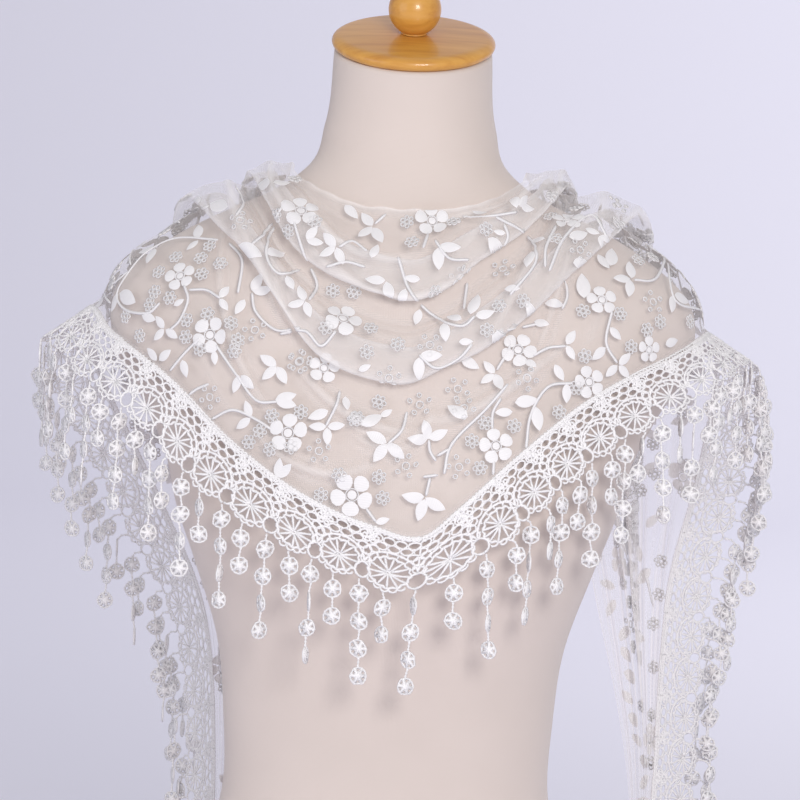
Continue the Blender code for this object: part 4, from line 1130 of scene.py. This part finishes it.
# Stems on the front, each through a few picture columns and rows
stemLines = [
    [(218, 240), (178, 238), (150, 250), (132, 268), (117, 294), (126, 310), (148, 313), (160, 303)],
    [(89, 286), (110, 285), (128, 272)],
    [(184, 285), (188, 300), (180, 320), (170, 330)],
    [(189, 290), (206, 290), (220, 298)],
    [(229, 243), (242, 260), (238, 293)],
    [(252, 293), (256, 312), (276, 330), (300, 328)],
    [(201, 337), (184, 354), (170, 371)],
    [(216, 345), (236, 374), (256, 400), (277, 402)],
    [(252, 244), (268, 230), (282, 207)],
    [(274, 227), (266, 253), (278, 273), (300, 270)],
    [(183, 206), (196, 211), (209, 206)],
    [(236, 184), (244, 200), (236, 216)],
    [(336, 331), (321, 346), (305, 331), (280, 334)],
    [(294, 222), (304, 254), (317, 284), (309, 300)],
    [(339, 247), (352, 241), (367, 251)],
    [(326, 267), (346, 262), (365, 267)],
    [(398, 257), (410, 291), (434, 316), (461, 326), (475, 316)],
    [(428, 234), (423, 248)],
    [(435, 240), (449, 258), (469, 260)],
    [(467, 283), (464, 309)],
    [(419, 355), (436, 368), (458, 359), (472, 344)],
    [(375, 224), (386, 214)],
    [(462, 216), (490, 216), (517, 212)],
    [(496, 217), (525, 234), (536, 260), (510, 295)],
    [(504, 224), (508, 236), (504, 247)],
    [(556, 226), (546, 247), (545, 267)],
    [(608, 239), (591, 215), (564, 238), (549, 271)],
    [(566, 283), (567, 297), (562, 309)],
    [(507, 330), (523, 327), (537, 324)],
    [(496, 330), (510, 344), (497, 370)],
    [(533, 356), (548, 348), (566, 346)],
    [(612, 311), (606, 342), (617, 363)],
    [(634, 280), (655, 279), (667, 255)],
    [(667, 258), (675, 300), (703, 310)],
    [(573, 383), (548, 387), (531, 414), (526, 448)],
    [(212, 419), (233, 410), (257, 420), (272, 430)],
    [(189, 395), (197, 389), (209, 384)],
    [(340, 391), (336, 406), (326, 426)],
    [(407, 412), (402, 430), (388, 444)],
    [(429, 440), (430, 451), (436, 461)],
    [(437, 456), (449, 449)],
    [(444, 474), (452, 444), (485, 410), (508, 384)],
    [(501, 398), (493, 412), (492, 429)],
    [(494, 461), (493, 475)],
    [(430, 478), (426, 496)],
    [(423, 477), (438, 475)],
    [(366, 508), (376, 522)],
]


def onFront(picture, spots):
    # Grid place of the frontmost cloth under each spot: the nearest of the points within reach,
    # then one step by the local slope of the picture so that it lies under the spot itself.
    flat = picture[..., :2].reshape(-1, 2)
    depth = picture[..., 2].ravel()
    slopes = np.stack([np.gradient(picture[..., :2], axis=axis).reshape(-1, 2) for axis in (0, 1)], -1)
    places = []
    for spot in spots:
        apart = np.hypot(*(flat - spot).T)
        near = np.flatnonzero(apart < max(4.0, apart.min() + 0.5))
        best = near[np.argmin(depth[near] + 0.0006 * apart[near])]
        step = np.zeros(2)
        if abs(np.linalg.det(slopes[best])) > 0.15:
            step = np.clip(np.linalg.solve(slopes[best], spot - flat[best]), -2.0, 2.0)
        places.append(np.array(divmod(best, picture.shape[1])) + step)
    return np.array(places)


def motifSpots(cloth, places, degrees):
    # At each place: how far to go in grid rows and columns for a metre along and across a motif
    # whose length runs in the given direction of the picture, and how far the picture shortens it.
    slopes = np.stack([readGrid(np.gradient(cloth["points"], axis=axis), *places.T) for axis in (0, 1)], 1)
    normal = unit(readGrid(cloth["normals"], *places.T))
    right, up, forward, _ = cameraAxes()
    turn = np.radians(degrees)[:, None]
    way = right * np.cos(turn) + up * np.sin(turn)
    facing = np.minimum((normal * forward).sum(-1, keepdims=True), -0.3)
    along = way - forward * (way * normal).sum(-1, keepdims=True) / facing
    along = along - normal * (along * normal).sum(-1, keepdims=True)
    stretch = np.clip(np.linalg.norm(along, axis=-1), 1, 1.5)
    along = unit(along)
    ways = np.stack([along, np.cross(normal, along)], 2)
    square = slopes @ slopes.transpose(0, 2, 1) + np.eye(2) * 1e-9
    return (places, np.linalg.solve(square, slopes @ ways)), stretch


def ontoCloth(cloth, spots, x, y, height):
    # Motif points (x along, y across, metres) laid on the cloth and lifted by their height.
    x, y, height = np.broadcast_arrays(x, y, height)
    extra = (1,) * (x.ndim - 1)
    row, column = (spots[0][:, i].reshape(-1, *extra) + spots[1][:, i, 0].reshape(-1, *extra) * x
                   + spots[1][:, i, 1].reshape(-1, *extra) * y for i in (0, 1))
    normal = unit(readGrid(cloth["normals"], row, column))
    return readGrid(cloth["points"], row, column) + normal * height[..., None], normal


def addPads(bundle, cloth, spots, x, y, height, under=0.5, wrapped=False):
    # A padded patch: its upper side is domed, its under side is flatter, and they share a rim.
    uv = pairs(x, y)
    if wrapped:
        x, y, height = x[..., :-1], y[..., :-1], height[..., :-1]
    for rise, flip in ((height, not wrapped), (-under * height, wrapped)):
        points = ontoCloth(cloth, spots, x, y, stitchSize["lift"] + rise)[0]
        addGrid(bundle, points, uv, wrapColumns=wrapped, flip=flip)


def leafPatch(length):
    # Almond: half width = 0.25 L sin(pi u^0.85)^0.8, height dips along the middle vein.
    u = np.linspace(0, 1, 8)[:, None]
    v = np.linspace(-1, 1, 5)
    length = length[:, None, None]
    half = 0.25 * length * np.sin(math.pi * u ** 0.85) ** 0.8
    rise = np.sin(math.pi * np.clip(u, 0.02, 0.98)) ** 0.4
    height = stitchSize["leafHeight"] * rise * (1 - v ** 4) * (1 - 0.45 * np.exp(-(v / 0.3) ** 2))
    return np.broadcast_arrays((u - 0.5) * length, v * half, height)


def petalPatch(radius, turn):
    # Round petal from 0.28 R to R: half width = 0.40 R sqrt(1 - (2 u^1.25 - 1)^2), with a dip.
    u = 0.5 - 0.5 * np.cos(np.linspace(0, math.pi, 7))[:, None]
    v = np.linspace(-1, 1, 5)
    radius = radius[:, None, None]
    along = radius * (0.28 + 0.72 * u)
    across = v * 0.40 * radius * np.sqrt(np.clip(1 - (2 * u ** 1.25 - 1) ** 2, 0, 1))
    dip = 1 - 0.5 * np.exp(-((u - 0.5) / 0.30) ** 2 - (v / 0.55) ** 2)
    rise = np.sin(math.pi * np.clip(u, 0.02, 0.98)) ** 0.4
    height = stitchSize["petalHeight"] * rise * (1 - v ** 4) * dip
    return np.broadcast_arrays(along * math.cos(turn) - across * math.sin(turn),
                               along * math.sin(turn) + across * math.cos(turn), height)


def middlePatch(radius):
    # Round middle of a flower: x = r cos(turn), y = r sin(turn), height as sqrt(1 - (r / r0)^2).
    share = np.linspace(0.02, 1, 4)[:, None]
    turn = np.arange(13) * math.pi / 6
    r = share * radius[:, None, None] * stitchSize["middle"]
    height = stitchSize["petalHeight"] * 0.7 * np.sqrt(np.clip(1 - share ** 2, 0, 1))
    return np.broadcast_arrays(r * np.cos(turn), r * np.sin(turn), height)


def addRings(bundle, cloth, spots, x0, y0, radius, half, steps=8):
    # Small stitched rings about (x0, y0) of each motif.
    turn = np.arange(steps) * 2 * math.pi / steps
    x = x0 + np.reshape(radius, (-1, 1)) * np.cos(turn)
    y = y0 + np.reshape(radius, (-1, 1)) * np.sin(turn)
    line, normal = ontoCloth(cloth, spots, x, y, stitchSize["lift"])
    addTubes(bundle, line, normal, half, half * 0.9, sides=3, closed=True)


def addFlowers(bundle, cloth, places, degrees, radius):
    spots, _ = motifSpots(cloth, places, degrees)
    for petal in range(5):
        addPads(bundle, cloth, spots, *petalPatch(radius, petal * 2 * math.pi / 5))
    addRings(bundle, cloth, spots, 0, 0, radius * stitchSize["middleRing"], stitchSize["middleHalf"], steps=16)
    addPads(bundle, cloth, spots, *middlePatch(radius), under=0.3, wrapped=True)


def addLeaves(bundle, cloth, places, degrees, length):
    spots, stretch = motifSpots(cloth, places, degrees)
    addPads(bundle, cloth, spots, *leafPatch(length * stretch))


def sprigLeaves(sprigs):
    # Middle, direction and length of each leaf: joint + (half its length + 1) * direction.
    counts = sprigs[:, 4].astype(int)
    rows = np.repeat(sprigs, counts, axis=0)
    order = np.concatenate([np.arange(count) for count in counts])
    degrees = rows[:, 2] + order * rows[:, 3]
    turn = np.radians(degrees)
    middle = rows[:, :2] + (rows[:, 5:6] / 2 + 1) * np.stack([np.cos(turn), -np.sin(turn)], -1)
    return middle, degrees, rows[:, 5]


def addRingSets(bundle, cloth, places, degrees, middle, around, count, reach, half, steps=8):
    # One ring in the middle and others round it, at a reach from the middle.
    spots, _ = motifSpots(cloth, places, degrees)
    addRings(bundle, cloth, spots, 0, 0, middle, half, steps)
    for turn in np.arange(count) * 2 * math.pi / count:
        addRings(bundle, cloth, spots, reach * math.cos(turn), reach * math.sin(turn), around, half)


def addEyelets(bundle, cloth, places, degrees):
    lobe = stitchSize["lobe"]
    addRingSets(bundle, cloth, places, degrees, lobe * 1.15, lobe, 6, lobe * 2.35, stitchSize["ringHalf"])


def addGroups(bundle, cloth, places, degrees):
    lobe = stitchSize["lobe"]
    addRingSets(bundle, cloth, places, degrees, lobe * 1.7, lobe * 1.05, 5, stitchSize["groupReach"],
                stitchSize["groupHalf"], steps=12)


def addStem(bundle, cloth, places):
    # Half-round stem through grid places; it breaks off where the cloth jumps to another fold.
    normal = unit(readGrid(cloth["normals"], *places.T))
    line = readGrid(cloth["points"], *places.T) + normal * stitchSize["lift"]
    jump = np.linalg.norm(np.diff(line, axis=0), axis=-1) > stitchSize["stemBreak"]
    for run in np.split(np.arange(len(line)), np.flatnonzero(jump) + 1):
        if len(run) > 3:
            half = np.full(len(run), stitchSize["stemHalf"])
            half[[0, -1]] *= 0.5
            addTubes(bundle, line[run][None], normal[run][None], half[None], half[None] * 0.55)


def smoothLine(knots, step):
    # Smooth curve through the knots, read at even steps.
    curve = throughKnots(np.array([knots], float), 12)[0]
    length = runLength(curve)
    even = np.linspace(0, length[-1], max(4, int(length[-1] / step)))
    return np.stack([np.interp(even, length, curve[:, i]) for i in range(2)], -1)


def endSpots(cloth):
    # On the ends: wavy stems along each lane, column = (lane + wave * sin(length / waveTurn)) over
    # the width, with leaves on alternate sides, and flowers, groups and eyelets between the lanes.
    stems, leaves, flowers, eyelets, groups = [], [], [], [], []
    stations, points, width = cloth["stations"], cloth["points"], cloth["width"]
    length = runLength(points[:, points.shape[1] // 2])
    last = points.shape[1] - 1
    for side in (-1, 1):
        for lane in range(endSize["lanes"]):
            middle = (lane + endSize["firstLane"]) * endSize["lane"]
            out = float(softStep(0.10, 0.22, middle))
            start = endSize["start"] + (endSize["startOut"] - endSize["start"]) * out
            rows = np.flatnonzero((stations * side > start) & (stations * side < endSize["stop"]))
            wave = middle + endSize["wave"] * np.sin(length[rows] / endSize["waveTurn"] + 2.1 * lane + side)
            inside = wave < width[rows] - endSize["margin"]
            if inside.sum() < 12:
                continue
            places = np.stack([rows[inside], wave[inside] / width[rows[inside]] * last], -1)
            stems.append(places)
            metres = length[rows[inside]] - length[rows[inside]][0]
            for k in range(1, int(abs(metres[-1]) / endSize["leafPitch"])):
                row, column = (np.interp(endSize["leafPitch"] * k, metres, places[:, i]) for i in range(2))
                aside = endSize["leafOut"] if k % 2 else -endSize["leafOut"]
                leaves.append((row, column + aside, 52 if k % 2 else -40))
            for k in range(int(abs(metres[-1]) / endSize["flowerPitch"])):
                row = np.interp(endSize["flowerPitch"] * (k + 0.5 + 0.3 * (lane % 2)), metres, places[:, 0])
                column = (middle + 0.5 * endSize["lane"]) / np.interp(row, np.arange(len(width)), width) * last
                if column > last - 8:
                    continue
                if (k + lane) % 3 == 0:
                    flowers.append((row, column, 40 * k + 25 * lane))
                elif (k + lane) % 3 == 1:
                    groups.append((row, column, 20 * k))
                for step, shift in ((-2.6, 0), (2.6, 3)):
                    eyelets.append((row + step, column + shift, 30 * k + step))
    return stems, [np.array(found, float) for found in (leaves, flowers, eyelets, groups)]


def makeEmbroidery(cloth, material):
    # Front motifs from their spots in the picture, the ends' from endSpots; one piece for a kind.
    picture = inPicture(cloth["points"])
    picture[np.abs(cloth["stations"]) > endSize["frontTo"]] += [0, 0, 9.0]  # not seen from the front
    pixel = stitchSize["pixel"]
    stems, (endLeaves, endFlowers, endEyelets, endGroups) = endSpots(cloth)
    flowers, leaves, stemBundle, eyelets = newBundle(), newBundle(), newBundle(), newBundle()
    addFlowers(flowers, cloth, onFront(picture, flowerSpots[:, :2]), flowerSpots[:, 2],
               flowerSpots[:, 3] * pixel / 2)
    addFlowers(flowers, cloth, endFlowers[:, :2], endFlowers[:, 2], np.full(len(endFlowers), endSize["flower"]))
    spots, degrees, length = sprigLeaves(sprigSpots)
    addLeaves(leaves, cloth, onFront(picture, spots), degrees, length * pixel)
    addLeaves(leaves, cloth, endLeaves[:, :2], endLeaves[:, 2], np.full(len(endLeaves), endSize["leaf"]))
    addEyelets(eyelets, cloth, onFront(picture, eyeletSpots), 17.0 * np.arange(len(eyeletSpots)))
    addEyelets(eyelets, cloth, endEyelets[:, :2], endEyelets[:, 2])
    addGroups(eyelets, cloth, onFront(picture, groupSpots), 31.0 * np.arange(len(groupSpots)))
    addGroups(eyelets, cloth, endGroups[:, :2], endGroups[:, 2])
    for knots in stemLines:
        addStem(stemBundle, cloth, onFront(picture, smoothLine(knots, 2.0)))
    for places in stems:
        addStem(stemBundle, cloth, places)
    pieces = [bundleMesh(name, bundle, material, "net") for name, bundle in (
        ("stitched_flowers", flowers), ("stitched_leaves", leaves), ("stitched_stems", stemBundle),
        ("stitched_eyelets", eyelets))]
    print("embroidery stitched")
    return pieces


# Materials
def newMaterial(name, colour, roughness):
    material = bpy.data.materials.new(name)
    material.use_nodes = True
    shader = material.node_tree.nodes["Principled BSDF"]
    shader.inputs["Base Color"].default_value = (*colour, 1)
    shader.inputs["Roughness"].default_value = roughness
    return material, material.node_tree, shader


def addNode(tree, kind, settings=None, values=None, links=None):
    # One node: settings are its own properties, values its inputs, links its inputs' sources.
    node = tree.nodes.new(kind)
    for key, value in (settings or {}).items():
        setattr(node, key, value)
    for key, value in (values or {}).items():
        node.inputs[key].default_value = value
    for key, source in (links or {}).items():
        tree.links.new(source, node.inputs[key])
    return node


def addRamp(tree, source, stops):
    ramp = addNode(tree, "ShaderNodeValToRGB", links={"Fac": source})
    ramp.color_ramp.elements[0].position = stops[0][0]
    ramp.color_ramp.elements[0].color = (*stops[0][1], 1)
    ramp.color_ramp.elements[1].position = stops[-1][0]
    ramp.color_ramp.elements[1].color = (*stops[-1][1], 1)
    for position, colour in stops[1:-1]:
        element = ramp.color_ramp.elements.new(position)
        element.color = (*colour, 1)
    return ramp.outputs["Color"]


def addBump(tree, shader, height, strength, distance):
    bump = addNode(tree, "ShaderNodeBump", values={"Strength": strength, "Distance": distance},
                   links={"Height": height})
    tree.links.new(bump.outputs["Normal"], shader.inputs["Normal"])


def threadWave(tree, direction, scale, distortion):
    # Bands across a piece's own UVs, which lie in metres along its threads.
    uv = addNode(tree, "ShaderNodeUVMap", {"uv_map": "threads"}).outputs["UV"]
    return addNode(tree, "ShaderNodeTexWave", {"bands_direction": direction},
                   {"Scale": scale, "Distortion": distortion, "Detail": 1.0}, {"Vector": uv}).outputs["Fac"]


def addSheen(shader, weight, roughness):
    shader.inputs["Sheen Weight"].default_value = weight
    shader.inputs["Sheen Roughness"].default_value = roughness


linenLook = {
    "base": (0.76, 0.665, 0.61),
    "light": (0.75, 0.655, 0.604),
    "dark": (0.70, 0.610, 0.558),
    "threads": 420,                 # bands of the weave
    "cloud": 9,                     # size of its uneven tone, smaller when greater
}


def linenCover():
    material, tree, shader = newMaterial("linenCover", linenLook["base"], 0.88)
    addSheen(shader, 0.25, 0.6)
    place = addNode(tree, "ShaderNodeTexCoord").outputs["Object"]
    weft = threadWave(tree, "X", linenLook["threads"], 1.2)
    warp = threadWave(tree, "Y", linenLook["threads"], 1.2)
    weave = addNode(tree, "ShaderNodeMath", {"operation": "MAXIMUM"}, links={0: weft, 1: warp}).outputs[0]
    cloud = addNode(tree, "ShaderNodeTexNoise", values={"Scale": linenLook["cloud"], "Detail": 3},
                    links={"Vector": place})
    tone = addRamp(tree, cloud.outputs["Fac"], [(0.3, linenLook["dark"]), (0.7, linenLook["light"])])
    tree.links.new(tone, shader.inputs["Base Color"])
    addBump(tree, shader, weave, 0.25, 0.0003)
    return material


woodLook = {
    "base": (0.68, 0.35, 0.085),
    "grain": ((0.25, (0.54, 0.225, 0.038)), (0.5, (0.68, 0.335, 0.062)), (0.8, (0.79, 0.43, 0.10))),
    "stretch": (6, 60, 60),         # the grain runs long from side to side
    "turn": (0.2, 0.1, 0.3),        # and lies a little askew
    "varnish": 0.35,
}


def honeyWood():
    material, tree, shader = newMaterial("honeyWood", woodLook["base"], 0.34)
    shader.inputs["Coat Weight"].default_value = woodLook["varnish"]
    shader.inputs["Coat Roughness"].default_value = 0.06
    place = addNode(tree, "ShaderNodeTexCoord").outputs["Object"]
    lie = addNode(tree, "ShaderNodeMapping", values={"Scale": woodLook["stretch"], "Rotation": woodLook["turn"]},
                  links={"Vector": place}).outputs["Vector"]
    grain = addNode(tree, "ShaderNodeTexNoise", values={"Scale": 2.2, "Detail": 5, "Roughness": 0.6},
                    links={"Vector": lie}).outputs["Fac"]
    tree.links.new(addRamp(tree, grain, woodLook["grain"]), shader.inputs["Base Color"])
    addBump(tree, shader, grain, 0.05, 0.0004)
    return material


netLook = {
    "colour": (0.99, 0.96, 0.95),
    "cells": 780,                   # per metre
    "open": 0.145,                  # how opaque a single layer is
    "dense": 0.36,                  # and how much more where it is densest
    "thread": 0.06,                 # and how much more on a thread
}


def sheerNet():
    # Opacity = open + dense * tone attribute + thread near the borders of small uneven cells.
    material, tree, shader = newMaterial("sheerNet", netLook["colour"], 0.55)
    addSheen(shader, 0.9, 0.4)
    uv = addNode(tree, "ShaderNodeUVMap", {"uv_map": "threads"}).outputs["UV"]
    cells = addNode(tree, "ShaderNodeTexVoronoi", {"feature": "DISTANCE_TO_EDGE", "voronoi_dimensions": "2D"},
                    {"Scale": netLook["cells"], "Randomness": 0.35}, {"Vector": uv}).outputs["Distance"]
    threads = addNode(tree, "ShaderNodeMapRange",
                      values={"From Min": 0.05, "From Max": 0.22, "To Min": netLook["thread"], "To Max": 0.0},
                      links={"Value": cells}).outputs["Result"]
    dense = addNode(tree, "ShaderNodeAttribute", {"attribute_name": "tone"}).outputs["Fac"]
    base = addNode(tree, "ShaderNodeMath", {"operation": "MULTIPLY_ADD"},
                   {1: netLook["dense"], 2: netLook["open"]}, {0: dense})
    alpha = addNode(tree, "ShaderNodeMath", {"operation": "ADD", "use_clamp": True},
                    links={0: base.outputs[0], 1: threads}).outputs[0]
    tree.links.new(alpha, shader.inputs["Alpha"])
    return material


# White threads: colour, twists of the thread to a metre of UV, bump strength and roughness
threadLooks = {
    "laceThread": ((0.97, 0.955, 0.965), 260, 0.35, 0.6),
    "fringeThread": ((0.98, 0.965, 0.975), 300, 0.35, 0.55),
    "satinThread": ((0.90, 0.885, 0.895), 420, 0.3, 0.5),
}


def whiteThread(name):
    colour, scale, strength, roughness = threadLooks[name]
    material, tree, shader = newMaterial(name, colour, roughness)
    addSheen(shader, 0.35, 0.35)
    twist = threadWave(tree, "DIAGONAL", scale, 0.8)
    # Painted shade: the colour falls to 0.94 of the thread's own in the grooves between its twists, where shade
    # would fall; the bump follows the same twists.
    dark = tuple(0.94 * c for c in colour)
    tree.links.new(addRamp(tree, twist, [(0.1, dark), (0.6, colour)]), shader.inputs["Base Color"])
    addBump(tree, shader, twist, strength, 0.0003)
    return material


# Studio
studio = {
    "backdrop": (0.83, 0.82, 0.91),
    "world": (0.97, 0.96, 1.0),
    "worldPower": 0.50,
    "half": 7.0,                    # half width of the sweep, and how far it comes forward
    "floorEnd": 3.6,
    "bend": 1.9,                    # radius
    "high": 6.0,
}
# Lights: name, place, point aimed at, size, power in watts, colour
studioLights = (
    ("keyLight", (0.38, -1.80, 1.05), (0, 0, 0.5), (0.5, 0.5), 16.5, (1.0, 0.975, 0.95)),
    ("fillLight", (-1.6, -1.2, 0.9), (0, 0, 0.5), (1.2, 1.2), 5.5, (0.95, 0.96, 1.0)),
    ("backdropLight", (2.4, 1.3, 3.0), (1.8, 5.2, 1.3), (2.4, 1.8), 96.0, (0.97, 0.97, 1.0)),
)


def addLight(name, place, aim, size, power, colour):
    data = bpy.data.lights.new(name, "AREA")
    data.shape = "RECTANGLE"
    data.size, data.size_y = size
    data.energy = power
    data.color = colour
    light = bpy.data.objects.new(name, data)
    bpy.context.scene.collection.objects.link(light)
    away = unit(np.array(place, float) - np.array(aim, float))
    right = unit(np.cross([0, 0, 1.0], away))
    up = np.cross(away, right)
    light.matrix_world = Matrix([[right[i], up[i], away[i], place[i]] for i in range(3)] + [[0, 0, 0, 1]])


def makeStudio():
    # Floor and backdrop in one sweep: flat, then a quarter round, then upright. It stands far
    # enough behind for the form to be seen from the back too.
    turn = np.linspace(0, math.pi / 2, 33)
    flatEnd, bendSize, half = studio["floorEnd"], studio["bend"], studio["half"]
    floor = np.stack([np.linspace(-half, flatEnd, 12), np.zeros(12)], -1)
    bend = np.stack([flatEnd + bendSize * np.sin(turn), bendSize * (1 - np.cos(turn))], -1)
    wall = np.stack([np.full(8, flatEnd + bendSize), np.linspace(bendSize + 0.1, studio["high"], 8)], -1)
    profile = np.concatenate([floor, bend[1:], wall])
    x, y = np.broadcast_arrays(np.linspace(-half, half, 9), profile[:, :1])
    points = np.stack([x, y, np.broadcast_to(profile[:, 1:], x.shape)], -1)[None]
    bundle = newBundle()
    addGrid(bundle, points, points[..., :2], flip=True)
    sweep = bundleMesh("studio_sweep", bundle, newMaterial("paperSweep", studio["backdrop"], 0.9)[0], None)
    world = bpy.data.worlds.new("studioWorld")
    world.use_nodes = True
    world.node_tree.nodes["Background"].inputs["Color"].default_value = (*studio["world"], 1)
    world.node_tree.nodes["Background"].inputs["Strength"].default_value = studio["worldPower"]
    bpy.context.scene.world = world
    for light in studioLights:
        addLight(*light)
    bpy.context.scene.view_settings.view_transform = "Standard"
    print("studio lit")


addCamera()
makeStudio()
makeForm(linenCover())
makeCapAndKnob(honeyWood())
cloth = clothSurface()
net = makeCloth(cloth, sheerNet())
legs = legLengths()
laceSurfaces = {side: laceSurface(legs, side) for side in (-1, 1)}
stitchPieces = makeEmbroidery(cloth, whiteThread("satinThread"))
borderPieces = makeBorder(laceSurfaces, whiteThread("laceThread"))
fringePieces = makeFringe(laceSurfaces, whiteThread("fringeThread"))
